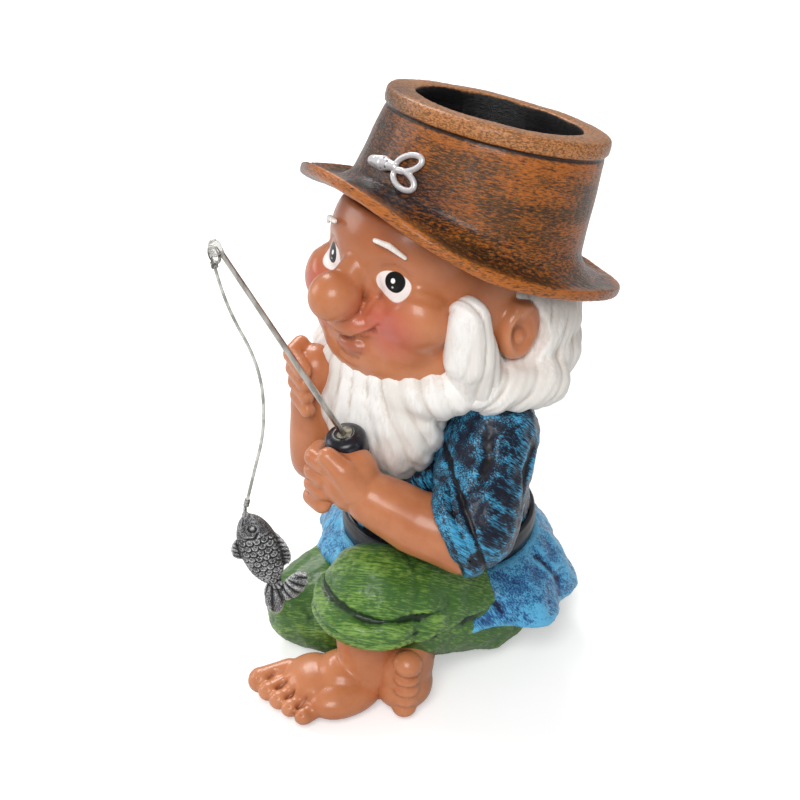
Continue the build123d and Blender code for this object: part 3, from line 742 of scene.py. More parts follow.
# %% Shirt body
clay = bmesh.new()
ball(clay, (0, 0, 68), (34, 33, 38), fine=5)
ball(clay, (0, 2, 92), (30, 22, 14), fine=5)
bmesh.ops.create_cone(clay, cap_ends=True, segments=96, radius1=0.032, radius2=0.032, depth=0.03,
                      matrix=Matrix.Translation((0, 0, 0.049)))
slice_off(clay, (0, 0, 36), (0, 0, -1))
shirt = model(clay, "shirt_casting", 0.8, 10)
for turn_at in range(0, 360, 24):
    a = radians(turn_at + 7 * sin(turn_at))
    score(shirt, [(33 * cos(a), 33 * sin(a), 44), (34 * cos(a + 0.1), 33 * sin(a + 0.1), 54),
                  (34 * cos(a + 0.12), 33 * sin(a + 0.12), 62 + 5 * sin(3 * a))], 3.0, 1.1)
score(shirt, [(33, 4, 84), (36, 10, 70), (33, 14, 56)], 3.5, 1.2)
score(shirt, [(30, -14, 60), (32, -6, 52), (33, 4, 48)], 3.0, 1.2)
hand_marks(shirt, 9, 0.35, 51)
hand_marks(shirt, 2.2, 0.12, 52)
finish_piece(shirt, "gnome", shirt_paint, "shirt_paint", "shirt_body")

# %% Sleeves
def hoop(clay, centre, way, wide, deep, roll, wave=0.0, lift=0.0):
    """A rolled hem: a closed ring of short limbs round a sleeve or a trouser leg."""
    place = Matrix.Translation(Vector(centre)) @ Vector(way).to_track_quat("Z", "Y").to_matrix().to_4x4()
    spots = [place @ Vector((wide * cos(pi * k / 14), deep * sin(pi * k / 14), lift + wave * sin(pi * k / 7)))
             for k in range(29)]
    for start, end in zip(spots, spots[1:]):
        limb(clay, start, end, roll, roll)
    return [tuple(spot) for spot in spots]


clay = bmesh.new()
limb(clay, (31, -5, 90), (44.5, -27, 69), 15.5, 15)
slice_off(clay, (40.5, -33, 69), (-0.48, -0.72, -0.26))
hoop(clay, (40.5, -33, 69), (0.48, 0.72, 0.26), 13.6, 13.2, 2.6, 1.2)
left_sleeve = model(clay, "left_sleeve_casting", 0.7, 3)
for path in (
    [(44, 2, 92), (50, -8, 84), (54, -18, 72)], [(36, 6, 84), (42, 2, 76), (50, -8, 66)],
    [(28, -18, 92), (34, -24, 86), (40, -30, 80)], [(38, -14, 99), (44, -20, 92), (48, -28, 82)],
    [(40, -2, 70), (46, -10, 62), (48, -18, 58)], [(52, -22, 80), (56, -24, 72), (55, -26, 64)],
):
    score(left_sleeve, path, 3.6, 1.5)
points, ways = skin_of(left_sleeve)
from_cut = (points - np.array((40.5, -33, 69))) @ np.array((0.48, 0.72, 0.26)) / 0.904
band = np.clip(1 - np.abs(from_cut - 2.6) / 3.2, 0, 1)
groove = np.clip(1 - np.abs(from_cut - 6.6) / 1.1, 0, 1)
reshape(left_sleeve, points + (1.5 * band ** 0.5 - 0.8 * groove)[:, None] * ways)
hand_marks(left_sleeve, 8, 0.45, 61)
hand_marks(left_sleeve, 2.2, 0.12, 62)
finish_piece(left_sleeve, "gnome", shirt_paint, "shirt_paint", "left_sleeve")

clay = bmesh.new()
limb(clay, (-31, -5, 90), (-26.5, -23, 78), 14.5, 12)
slice_off(clay, (-25.5, -29, 76), (0.2, -0.85, -0.45))
hoop(clay, (-27.5, -26, 77.5), (-0.2, 0.85, 0.45), 11.2, 10.8, 2.0, 1.0)
right_sleeve = model(clay, "right_sleeve_casting", 0.7, 3)
for path in (
    [(-42, 2, 92), (-42, -10, 88), (-38, -22, 82)], [(-36, 6, 80), (-40, -6, 76), (-36, -18, 70)],
    [(-28, -18, 98), (-30, -24, 92), (-32, -28, 86)],
):
    score(right_sleeve, path, 3.4, 1.4)
hand_marks(right_sleeve, 8, 0.4, 63)
hand_marks(right_sleeve, 2.2, 0.12, 64)
finish_piece(right_sleeve, "gnome", shirt_paint, "shirt_paint", "right_sleeve")

# %% [markdown]
# The belt is a plain strap with rounded edges and a pressed line near each edge. It is turned
# like a ring on a lathe, which is what a full spin of its section does.

# %% Belt
def lathe(name, section, place, turns=128):
    """A ring or vessel turned from a closed section of (radius, height), in millimetres."""
    turning = bmesh.new()
    rim = [turning.verts.new((r / 1000, 0, z / 1000)) for r, z in section]
    edges = [turning.edges.new((rim[k], rim[(k + 1) % len(rim)])) for k in range(len(rim))]
    bmesh.ops.spin(turning, geom=rim + edges, cent=(0, 0, 0), axis=(0, 0, 1), angle=2 * pi, steps=turns, use_merge=True)
    bmesh.ops.remove_doubles(turning, verts=turning.verts, dist=1e-7)
    bmesh.ops.recalc_face_normals(turning, faces=turning.faces)
    bmesh.ops.transform(turning, matrix=place, verts=turning.verts)
    mesh = bpy.data.meshes.new(name)
    turning.to_mesh(mesh)
    turning.free()
    piece = bpy.data.objects.new(name, mesh)
    bpy.context.collection.objects.link(piece)
    return piece


belt_paint, belt_tree, belt_shader = start_paint("belt_paint", 0.34, 0.15)
belt_grain = node(belt_tree, "ShaderNodeTexNoise", None, {"Scale": 380.0, "Detail": 5.0})
plug(belt_tree, place_of(belt_tree, (0, 0, 0), (1, 1, 0.5)), belt_grain.inputs["Vector"])
belt_colour = mix(belt_tree, remap(belt_tree, belt_grain.outputs["Fac"], 0.35, 0.7), tint(8, 9, 14), tint(30, 34, 46))
plug(belt_tree, belt_colour, belt_shader.inputs["Base Color"])
belt = lathe("belt_strap", [
    (31.4, 36.2), (33.4, 36.1), (34.0, 36.8), (33.8, 38.0), (34.2, 38.8), (34.3, 41), (34.2, 43.4), (33.8, 44.2),
    (34.0, 45.2), (33.4, 45.9), (31.4, 45.8)], Matrix())
finish_piece(belt, "gnome", belt_paint, "belt_paint", "belt")

# %% [markdown]
# The hem flares out over his seat like a short skirt, with nine soft folds. Rings of a circle
# are waved and bridged from the belt down to the edge and back up inside.

# %% Shirt hem
def ring(shape, place, reach, count=144):
    """A loop of edges whose radius at each angle comes from reach(angle)."""
    loop = bmesh.ops.create_circle(shape, cap_ends=False, segments=count, radius=1)["verts"]
    for corner in loop:
        angle = atan2(corner.co.y, corner.co.x)
        corner.co = place @ (Vector(reach(angle)) / 1000)
    return [e for e in shape.edges if e.verts[0] in loop and e.verts[1] in loop]


def fold(radius, wave, squash):
    return lambda a: (
        (radius + wave * cos(9 * a) + 0.5 * wave * sin(4 * a + 1)) * cos(a),
        (radius + wave * cos(9 * a) + 0.5 * wave * sin(4 * a + 1)) * sin(a) * squash, 0)


def level(height, slope, shift):
    return Matrix.Translation((0, shift / 1000, height / 1000)) @ Matrix.Rotation(radians(slope), 4, "X")


hem_shape = bmesh.new()
hem_rings = [
    ring(hem_shape, level(*at), fold(*size)) for at, size in (
        ((37.5, 0, 0), (31.5, 0.1, 1)), ((37.5, 0, 0), (35.2, 0.2, 1)), ((34, -1.5, 0.3), (39.5, 0.5, 0.99)),
        ((29.5, -3.5, 1), (44.2, 1.1, 0.96)), ((24, -5.5, 2), (47.2, 1.9, 0.94)), ((18.8, -7, 3), (49.2, 2.5, 0.92)),
        ((17.6, -7, 3), (48.2, 2.5, 0.92)), ((19, -7, 3), (46.6, 2.3, 0.92)), ((28, -4, 1.2), (41, 1.2, 0.95)),
        ((33, -1.5, 0.3), (34, 0.4, 0.99)))
]
for upper, lower in zip(hem_rings, hem_rings[1:] + hem_rings[:1]):
    bmesh.ops.bridge_loops(hem_shape, edges=upper + lower)
bmesh.ops.recalc_face_normals(hem_shape, faces=hem_shape.faces)
hem = model(hem_shape, "shirt_hem_casting", 0.7, 3)
for k in range(9):
    a = 2 * pi * (k + 0.5) / 9
    score(hem, [(36 * cos(a), 36 * sin(a), 36), (42 * cos(a + 0.05), 41 * sin(a + 0.05), 31),
                (49 * cos(a + 0.12), 46 * sin(a + 0.12), 21)], 3.0, 0.9)
hand_marks(hem, 9, 0.35, 71)
hand_marks(hem, 2.2, 0.1, 72)
finish_piece(hem, "gnome", hem_paint, "shirt_paint", "shirt_hem")

# %% [markdown]
# Arms and hands: a forearm, a palm and four fingers that wrap what the hand holds. Fingers are
# tapered rolls side by side, kneaded only lightly so that the gaps between them stay.

# %% Left arm
clay = bmesh.new()
limb(clay, (34, -10, 86), (43, -30, 65), 12, 11.8)
limb(clay, (43, -30, 65), (31, -40, 70), 12, 10.6)
limb(clay, (31, -40, 70), (20, -48, 77), 10.6, 9.2)
ball(clay, (13, -51, 82.5), (9.6, 9.4, 11.5))
ball(clay, (11.5, -54.5, 84), (8, 7, 10))
for k in range(4):
    limb(clay, (9 - 0.8 * k, -59, 89 - 5.2 * k), (3 - 0.8 * k, -58.8 + 0.3 * k, 89.6 - 5.4 * k), 3.3, 3.3)
    limb(clay, (3 - 0.8 * k, -58.8 + 0.3 * k, 89.6 - 5.4 * k), (-1, -53 + 0.6 * k, 89 - 5.4 * k), 3.3, 3.0)
limb(clay, (17.5, -53, 82), (15.5, -57, 89), 6.2, 4.8)
limb(clay, (15.5, -57, 89), (11, -59.6, 93.6), 4.6, 3.5)
left_arm = model(clay, "left_arm_casting", 0.6, 8)
for k in range(3):
    score(left_arm, [(7 - 0.8 * k, -63, 87.0 - 5.3 * k), (2, -61.5, 86.8 - 5.4 * k), (-4, -55, 86.2 - 5.4 * k)], 1.1, 0.6)
score(left_arm, [(25, -38, 84), (26, -47, 80), (24, -54, 74)], 2.2, 0.35)
hand_marks(left_arm, 12, 0.18, 81)
finish_piece(left_arm, "gnome", skin_paint, "skin_paint", "left_arm", full=0.7)

# %% Right arm, hand at his chin
clay = bmesh.new()
limb(clay, (-27, -20, 80), (-21.5, -37, 71), 10.5, 10)
limb(clay, (-21.5, -37, 71), (-20.5, -39.5, 93), 10, 7.6)
ball(clay, (-20, -38, 104), (9, 8.5, 10))
for k in range(4):
    limb(clay, (-25.5 + 1.2 * k, -40, 113 - 4.6 * k), (-24.5 + 1.2 * k, -45, 111.5 - 4.6 * k), 3.0, 3.2)
    limb(clay, (-24.5 + 1.2 * k, -45, 111.5 - 4.6 * k), (-15.5 + 0.6 * k, -47.5, 109.5 - 4.6 * k), 3.2, 2.7)
right_arm = model(clay, "right_arm_casting", 0.6, 4)
for k in range(3):
    score(right_arm, [(-28 + 1.2 * k, -40, 110.6 - 4.6 * k), (-24 + 1.2 * k, -49, 109 - 4.6 * k),
                      (-14 + 0.6 * k, -50, 107.3 - 4.6 * k)], 1.1, 0.5)
hand_marks(right_arm, 12, 0.18, 83)
finish_piece(right_arm, "gnome", skin_paint, "skin_paint", "right_arm", full=0.7)

# %% [markdown]
# The trousers are a seat and two legs. The left knee stands up and its leg ends in a rolled
# cuff, the right leg lies crossed on the ground.

# %% Trousers
def bunch(piece, paths, width=4.8, depth=1.1):
    for path in paths:
        score(piece, path, width, depth)


clay = bmesh.new()
limb(clay, (24, -2, 17.5), (23, -40, 33.5), 18.5, 18.5)
ball(clay, (20, -48.5, 39), (18.2, 17.2, 17.2), fine=5)
slice_off(clay, (22, -53, 31), (-0.1, 0.0, -1))
back = bmesh.new()
limb(back, (24, -2, 17.5), (23, -36, 30), 18.4, 17.5)
slice_off(back, (0, 0, 0.2), (0, 0, -1))
back_data = bpy.data.meshes.new("back_of_thigh")
back.to_mesh(back_data)
back.free()
clay.from_mesh(back_data)
bpy.data.meshes.remove(back_data)
hoop(clay, (20.5, -50, 34), (0.13, 0.12, 1), 16.4, 16.0, 3.4, 0.5)
hoop(clay, (20.8, -49.8, 37.5), (0.13, 0.12, 1), 16.8, 16.4, 2.9, 0.5)
left_leg_cloth = model(clay, "left_trouser_leg_casting", 0.7, 4)
points, ways = skin_of(left_leg_cloth)
from_cut = (points - np.array((22, -53, 31))) @ np.array((0.13, 0.12, 1)) / 1.015 + 0.5 * ripple(points, 16, 97)
near_cuff = np.clip((-33 - points[:, 1]) / 5, 0, 1) * (points[:, 2] > 20)
band = np.clip(1 - np.abs(from_cut - 5) / 5.2, 0, 1) ** 0.5
groove = np.clip(1 - np.abs(from_cut - 11.0) / 1.3, 0, 1)
seam = np.clip(1 - np.abs(from_cut - 4.4) / 0.9, 0, 1)
reshape(left_leg_cloth, points + (near_cuff * (0.9 * band - 1.0 * groove - 0.35 * seam))[:, None] * ways)
bunch(left_leg_cloth, (
    [(40, -10, 22), (41, -22, 26), (38, -34, 32)], [(36, -30, 42), (40, -34, 34), (38, -40, 27)],
    [(30, -18, 36), (36, -24, 32), (41, -28, 24)], [(16, -64, 40), (24, -66, 38), (33, -60, 37)],
    [(10, -60, 46), (18, -64, 46), (26, -62, 45)], [(28, -8, 36), (36, -10, 30), (41, -12, 20)],
    [(38, -44, 40), (40, -46, 34), (38, -48, 29)],
))
hand_marks(left_leg_cloth, 10, 0.4, 91)
hand_marks(left_leg_cloth, 2.2, 0.1, 92)
finish_piece(left_leg_cloth, "gnome", trouser_paint, "trouser_paint", "left_trouser_leg", full=0.45)

clay = bmesh.new()
limb(clay, (-22, -2, 17.5), (-17, -48, 14.6), 17.5, 14.5)
limb(clay, (-17, -48, 14.6), (-4, -44, 14.5), 14.5, 14)
slice_off(clay, (0, 0, 0.2), (0, 0, -1))
right_leg_cloth = model(clay, "right_trouser_leg_casting", 0.8, 5)
bunch(right_leg_cloth, (
    [(-38, -6, 22), (-36, -20, 26), (-30, -34, 26)], [(-36, -30, 14), (-34, -40, 18), (-26, -50, 22)],
    [(-30, -50, 8), (-24, -58, 12), (-14, -62, 16)], [(-20, -56, 24), (-10, -58, 22), (0, -56, 18)],
))
hand_marks(right_leg_cloth, 10, 0.4, 93)
hand_marks(right_leg_cloth, 2.2, 0.1, 94)
finish_piece(right_leg_cloth, "gnome", trouser_paint, "trouser_paint", "right_trouser_leg", full=0.45)

clay = bmesh.new()
ball(clay, (0, 2, 19), (40, 37, 26), fine=5)
slice_off(clay, (0, 0, 36), (0, 0, 1))
slice_off(clay, (0, 0, 1.0), (0, 0, -1))
seat = model(clay, "trousers_seat_casting", 0.8, 4)
bunch(seat, ([(36, 10, 22), (40, -2, 20), (38, -12, 14)], [(28, 28, 26), (36, 16, 18), (40, 4, 10)],
             [(0, 40, 30), (1, 40, 16), (0, 36, 6)], [(-28, 28, 26), (-36, 16, 18), (-40, 4, 10)]))
hand_marks(seat, 10, 0.4, 95)
finish_piece(seat, "gnome", trouser_paint, "trouser_paint", "trousers_seat", full=0.45)

# %% [markdown]
# Bare feet, with round toes side by side. Each toe is a short roll, and its nail is a small
# plate that is pressed with a ring-shaped groove.

# %% Left leg and foot
def nail(piece, centre, across, along, size):
    c, a, b = np.array(centre), np.array(across), np.array(along)
    path = [c + size * (cos(t) * a + 0.8 * sin(t) * b) for t in np.linspace(0, 2 * pi, 13)]
    score(piece, path, 0.75, 0.4, ends=1)


clay = bmesh.new()
limb(clay, (20, -50, 37), (21.5, -51, 13), 12.5, 11.2)
ball(clay, (22, -48, 8), (11, 11.5, 8.8))
ball(clay, (17, -60, 9), (11, 11, 8.6), (0, 0, -22))
ball(clay, (22.6, -63.5, 6.5), (9, 14, 6.6), (0, 0, -6))
ball(clay, (11.5, -66.8, 7.2), (13, 11.6, 7.2), (0, 0, -8))
limb(clay, (21, -52, 10), (13, -67, 6.8), 9.6, 7.4)
toe_sizes = [4.3, 3.5, 3.35, 3.2, 3.0]
toe_roots = [(1.0 + 4.9 * k, -70.5, 7.8 - 0.5 * k) for k in range(5)]
toe_tips = [(-2.6 + 5.7 * k, -79.6 - 1.3 * min(k, 1) + 0.5 * max(0, k - 2), 5.9 - 0.45 * k) for k in range(5)]
for root, tip, size in zip(toe_roots, toe_tips, toe_sizes):
    limb(clay, root, tip, size * 0.95, size)
    ball(clay, (tip[0], tip[1] - 0.6, tip[2] + 0.4), (size * 1.04, size * 1.04, size))
slice_off(clay, (0, 0, 0.2), (0, 0, -1))
left_leg = model(clay, "left_leg_casting", 0.6, 4)
for k in range(4):
    root_x, tip_x = 1.3 + 4.9 * (k + 0.5), -2.5 + 5.7 * (k + 0.5)
    score(left_leg, [(0.3 * root_x + 0.7 * tip_x, -75.6, 11.5 - 0.5 * k), (tip_x, -80, 8 - 0.4 * k), (tip_x, -84, 3.6)], 1.5, 1.2)
for tip, size in zip(toe_tips, toe_sizes):
    nail(left_leg, (tip[0] - 0.2, tip[1] - 0.68 * size, tip[2] + 0.74 * size), (1, 0, 0), (0, -0.75, 0.66), 0.44 * size)
score(left_leg, [(13, -62, 24), (20, -64, 15), (27, -58, 12)], 3.4, 0.5)
hand_marks(left_leg, 12, 0.2, 101)
finish_piece(left_leg, "gnome", skin_paint, "skin_paint", "left_leg", full=0.8)

# %% Right leg and foot
clay = bmesh.new()
limb(clay, (-12, -44, 14), (24, -37, 12), 12, 9.8)
ball(clay, (30, -43.2, 13.4), (9.6, 13.6, 12.8), (0, 0, 35))
ball(clay, (32.4, -45.6, 8), (9.6, 11.5, 8), (0, 0, 35))
toe_heights = (4.2, 8.3, 12.5, 16.9, 22.4)
for k, height in enumerate(toe_heights):
    wide, tall = (5.1, 4.2) if k == 4 else (4.2 + 0.12 * k, 2.8)
    ball(clay, (38.6 + 0.25 * k, -51.6 + 0.2 * k, height), (wide, wide, tall), (10, 10, 0))
slice_off(clay, (0, 0, 0.2), (0, 0, -1))
right_leg = model(clay, "right_leg_casting", 0.6, 5)
for low, high in zip(toe_heights, toe_heights[1:]):
    level_at = 0.5 * (low + high) - (0.7 if high > 20 else 0)
    score(right_leg, [(43.6, -48, level_at), (43, -54, level_at), (37.5, -56.6, level_at)], 1.1, 0.7)
hand_marks(right_leg, 12, 0.2, 103)
finish_piece(right_leg, "gnome", skin_paint, "skin_paint", "right_leg", full=0.8)

# %% [markdown]
# The hat is one casting, a planter well with a thick rim, a groove under it, and a brim that
# dips at the sides. Rings of edges follow it round: from the well's floor, over the rim, down
# the wall, through a soft fillet to the brim's edge, and back under.

# %% Hat
crown_place = Matrix.Translation(Vector((0, 25.2, 186.5)) / 1000) @ Matrix.Rotation(radians(-17.5), 4, "X")
brim_centre, brim_tilt = Vector((0, 5.6, 151.2)), radians(25.3)
brim_up, brim_back = Vector((0, sin(brim_tilt), cos(brim_tilt))), Vector((0, cos(brim_tilt), -sin(brim_tilt)))


def crown_radius(height):
    return 38.6 + 3.8 * max(0, -height - 6.5) / 30.5


def crown_lean(height):
    """The hand-made crown leans a little: its foot stands left of and before its rim."""
    return max(0, -height - 6.5) / 30.5


def crown_ring(radius, height, lean=0.0):
    return ring(hat, crown_place, lambda a: (radius * cos(a) - 2.3 * lean, 0.91 * radius * sin(a) - 2.6 * lean, height))


def brim_edge(a):
    lift = -1.8 * cos(2 * a) - 4.4 * cos(a) + 1.9 * sin(3 * a) + 0.7 * cos(4 * a) + 1.7 * cos(a + 0.73)
    curl = exp(-((a + 2.3) / 0.5) ** 2)
    return brim_centre + (Vector((1, 0, 0)) * cos(a) + brim_back * sin(a)) * (58 - 4 * curl) + brim_up * (lift + 1.6 * curl)


def crown_foot(a, above):
    """The spot on the crown's wall that is so far above the brim."""
    spots = [1000 * (crown_place @ (Vector((
        crown_radius(z) * cos(a) - 2.3 * crown_lean(z), 0.91 * crown_radius(z) * sin(a) - 2.6 * crown_lean(z), z)) / 1000))
        for z in (-8, -45)]
    edge = brim_edge(a)
    heights = [(s - brim_centre).dot(brim_up) - 0.35 * (edge - brim_centre).dot(brim_up) for s in spots]
    return spots[0].lerp(spots[1], (heights[0] - above) / (heights[0] - heights[1]))


def brim_ring(share, above, out=0.0):
    """A ring on the brim: share 0 is the crown's foot, 1 the edge."""
    def reach(a):
        foot, edge = crown_foot(a, 0.5), brim_edge(a)
        sag = 1.6 * sin(pi * share)
        return foot.lerp(edge, share) + brim_up * (above - sag) + (edge - brim_centre).normalized() * out
    return ring(hat, Matrix(), reach)


hat = bmesh.new()
hat_rings = [crown_ring(26, -30), crown_ring(28.4, -29.6), crown_ring(29, -28), crown_ring(29, -14), crown_ring(29, -1.4),
             crown_ring(29.5, -0.3), crown_ring(30.4, 0), crown_ring(37.2, 0), crown_ring(38.9, -0.5), crown_ring(39.5, -1.6),
             crown_ring(39.5, -4.7), crown_ring(39.1, -5.5), crown_ring(37.9, -6.2), crown_ring(38.7, -7.1),
             crown_ring(39.2, -12, crown_lean(-12))]
hat_rings += [ring(hat, Matrix(), lambda a, h=h: crown_foot(a, h)) for h in (11, 7.4, 5.2)]
hat_rings += [brim_ring(0.05, 3.6), brim_ring(0.14, 2.6), brim_ring(0.3, 2.1), brim_ring(0.6, 1.9), brim_ring(0.86, 1.9),
              brim_ring(0.96, 1.8), brim_ring(1.0, 1.0), brim_ring(1.0, -1.0, -0.1), brim_ring(0.97, -1.9),
              brim_ring(0.85, -2.0), brim_ring(0.5, -1.6), brim_ring(0.1, -1.6)]
for upper, lower in zip(hat_rings, hat_rings[1:]):
    bmesh.ops.bridge_loops(hat, edges=upper + lower)
bmesh.ops.edgenet_fill(hat, edges=hat_rings[0])
bmesh.ops.edgenet_fill(hat, edges=hat_rings[-1])
bmesh.ops.recalc_face_normals(hat, faces=hat.faces)
hat_mesh = bpy.data.meshes.new("hat_casting")
hat.to_mesh(hat_mesh)
hat.free()
hat_piece = bpy.data.objects.new("hat_casting", hat_mesh)
bpy.context.collection.objects.link(hat_piece)
curve = hat_piece.modifiers.new("curve", "SUBSURF")
curve.levels = curve.render_levels = 2
set_down(hat_piece)
hand_marks(hat_piece, 16, 0.14, 111)
hand_marks(hat_piece, 2.6, 0.05, 112)
print("hat rings:", len(hat_rings))

# %% [markdown]
# Hat paint: near black below, rust orange dragged over it in short strokes that run round the
# crown, bare black round the fly and in the well, painted shade mixed with dark streaks on the
# crown's left side, a painted shadow in the groove under the rim, and a paler rim that is partly
# worn paint and partly a painted highlight.

# %% Hat paint
hat_paint, hat_tree, hat_shader, hat_dab, hat_strokes = dry_brushed(
    "hat_paint", tint(14, 12, 18), tint(78, 52, 24), tint(186, 104, 34), 0.44, (17.5, 0, 0), (0.2, 0.2, 1.0), 2700,
    roughness=0.36, coat=0.2, bump=0.35, patchiness=0.16)
crown_frame = node(hat_tree, "ShaderNodeMapping", {"vector_type": "TEXTURE"}, {
    "Location": (0, 0.0252, 0.1865), "Rotation": (radians(-17.5), 0, 0)})
plug(hat_tree, hat_tree.nodes.new("ShaderNodeTexCoord").outputs["Object"], crown_frame.inputs["Vector"])
crown_axes = node(hat_tree, "ShaderNodeSeparateXYZ")
plug(hat_tree, crown_frame.outputs["Vector"], crown_axes.inputs[0])
# The paler rim: worn paint, and a painted highlight on its top.
on_rim = remap(hat_tree, crown_axes.outputs["Z"], -0.0066, -0.0052)
speckle = node(hat_tree, "ShaderNodeTexNoise", None, {"Scale": 2200.0, "Detail": 4.0})
plug(hat_tree, place_of(hat_tree, (17.5, 0, 0), (0.5, 0.5, 1.0)), speckle.inputs["Vector"])
rim_colour = mix(hat_tree, remap(hat_tree, speckle.outputs["Fac"], 0.38, 0.6), tint(122, 82, 48), tint(208, 142, 86))
flecks = node(hat_tree, "ShaderNodeTexNoise", None, {"Scale": 1500.0, "Detail": 5.0, "Roughness": 0.7})
plug(hat_tree, place_of(hat_tree, (17.5, 0, 0), (0.16, 0.16, 1.0)), flecks.inputs["Vector"])
flecks_dark = remap(hat_tree, flecks.outputs["Fac"], 0.54, 0.66, 0.0, 0.8)
flecks_olive = remap(hat_tree, flecks.outputs["Fac"], 0.46, 0.34, 0.0, 0.6)
hat_colour = mix(hat_tree, flecks_olive, hat_dab.outputs["Color"], tint(112, 84, 40))
hat_colour = mix(hat_tree, flecks_dark, hat_colour, tint(24, 19, 26))
hat_colour = mix(hat_tree, sums(hat_tree, "MULTIPLY", on_rim, 0.75), hat_colour, rim_colour)
fly_shade = spot(hat_tree, (2, -18, 168), (19, 14, 11), (-17.5, 0, 0), edge=0.55)
fly_shade = sums(hat_tree, "MULTIPLY", fly_shade, remap(hat_tree, hat_strokes.outputs["Strokes"], 0.9, 0.2, 0.45, 1.0))
hat_colour = mix(hat_tree, fly_shade, hat_colour, tint(20, 18, 26))
# Painted shade on the crown's left side, mixed with the dark streaks of paint there.
side_shade = spot(hat_tree, (-30, -14, 176), (28, 24, 26), (-17.5, 0, 0), edge=0.4)
side_shade = sums(hat_tree, "MULTIPLY", side_shade, remap(hat_tree, hat_strokes.outputs["Strokes"], 0.9, 0.2, 0.5, 1.0))
hat_colour = mix(hat_tree, side_shade, hat_colour, tint(30, 22, 20))
flat_x = sums(hat_tree, "MULTIPLY", crown_axes.outputs["X"], crown_axes.outputs["X"])
flat_y = sums(hat_tree, "MULTIPLY", crown_axes.outputs["Y"], crown_axes.outputs["Y"])
well_wide = sums(hat_tree, "ADD", flat_x, sums(hat_tree, "MULTIPLY", flat_y, 1 / 0.91 ** 2))
in_well = remap(hat_tree, well_wide, 0.0293 ** 2, 0.0297 ** 2, 1.0, 0.0)
hat_colour = mix(hat_tree, in_well, hat_colour, tint(5, 4, 5))
# Painted shadow in the groove under the rim.
groove_shadow = sums(hat_tree, "MULTIPLY", remap(hat_tree, crown_axes.outputs["Z"], -0.0074, -0.0066),
                 remap(hat_tree, crown_axes.outputs["Z"], -0.0058, -0.0053, 1.0, 0.0))
hat_colour = mix(hat_tree, sums(hat_tree, "MULTIPLY", groove_shadow, 0.9), hat_colour, tint(18, 14, 18))
plug(hat_tree, remap(hat_tree, in_well, 0.0, 1.0, 0.2, 0.0), hat_shader.inputs["Coat Weight"])
plug(hat_tree, hat_colour, hat_shader.inputs["Base Color"])
finish_piece(hat_piece, "gnome", hat_paint, "hat_paint", "hat")

# %% [markdown]
# The fly on the hat is a hook-and-feather ornament in silver: a ribbed body and two open loops
# for wings. The loops are rings, flattened and squeezed against the crown.

# %% Hat fly
silver_paint, silver_tree, silver_shader = start_paint("silver_paint", 0.32, 0.2)
tarnish = node(silver_tree, "ShaderNodeAttribute", {"attribute_name": "raised"}).outputs["Fac"]
silver_colour = mix(silver_tree, remap(silver_tree, tarnish, 0.2, 0.55), tint(70, 66, 70), tint(224, 222, 224))
plug(silver_tree, silver_colour, silver_shader.inputs["Base Color"])
silver_shader.inputs["Metallic"].default_value = 0.35


def on_crown(x, z, out):
    lean, radius = crown_lean(z), crown_radius(z)
    return (x, -(0.91 * sqrt(radius ** 2 - (x + 2.3 * lean) ** 2) + 2.6 * lean + out), z)


fly_clay = bmesh.new()
limb(fly_clay, on_crown(-3.0, -21.4, 0.9), on_crown(-8.0, -21.9, 1.0), 1.5, 2.3)
limb(fly_clay, on_crown(-8.0, -21.9, 1.0), on_crown(-14.6, -22.8, 0.7), 2.6, 1.9)
for (x, z), turn, long in (((2.0, -18.8), 26, 5.2), ((2.4, -24.2), -14, 4.9)):
    for k in range(18):
        a, b = 2 * pi * k / 18, 2 * pi * (k + 1) / 18
        t = radians(turn)
        ends = [(x + long * cos(c) * cos(t) - 2.5 * sin(c) * sin(t), z + long * cos(c) * sin(t) + 2.5 * sin(c) * cos(t))
                for c in (a, b)]
        limb(fly_clay, on_crown(*ends[0], 0.7), on_crown(*ends[1], 0.7), 1.0, 1.0)
bmesh.ops.transform(fly_clay, matrix=crown_place, verts=fly_clay.verts)
fly = model(fly_clay, "hat_fly", 0.3, 2)
for k in range(5):
    spots = [1000 * (crown_place @ (Vector(on_crown(-5.6 - 1.7 * k, z, 2.4)) / 1000)) for z in (-18.5, -22, -25.5)]
    score(fly, [tuple(s) for s in spots], 0.55, 0.45, ends=1)
finish_piece(fly, "gnome", silver_paint, "silver_paint", "fly_ornament")

# %% [markdown]
# The grip is a turned knob of black resin with a capped top, where the rod leaves through a
# pale bushing. The rod is drawn steel wire, and its eye is a lump of clear glue.

# %% Rod grip
grip_paint, grip_tree, grip_shader = start_paint("grip_paint", 0.3, 0.3)
scuff = node(grip_tree, "ShaderNodeTexNoise", None, {"Scale": 420.0, "Detail": 6.0, "Roughness": 0.7})
plug(grip_tree, place_of(grip_tree), scuff.inputs["Vector"])
grip_colour = mix(grip_tree, remap(grip_tree, scuff.outputs["Fac"], 0.5, 0.75), tint(20, 20, 28), tint(66, 72, 96))
plug(grip_tree, grip_colour, grip_shader.inputs["Base Color"])
grip_way = Vector((0, -0.24, 0.97)).to_track_quat("Z", "Y").to_matrix().to_4x4()
grip_place = Matrix.Translation(Vector((8, -50, 96.5)) / 1000) @ grip_way
grip = lathe("rod_grip_casting", [
    (2.6, 1.0), (3.6, 1.1), (5.7, 0.5), (6.5, -0.4), (6.9, -1.3), (6.95, -5.6), (6.6, -5.9), (6.6, -6.3), (6.9, -6.6), (6.8, -7.4),
    (6.2, -8.0), (5.6, -8.4), (5.6, -25), (2.6, -25)], grip_place)
finish_piece(grip, "gnome", grip_paint, "grip_paint", "rod_grip")

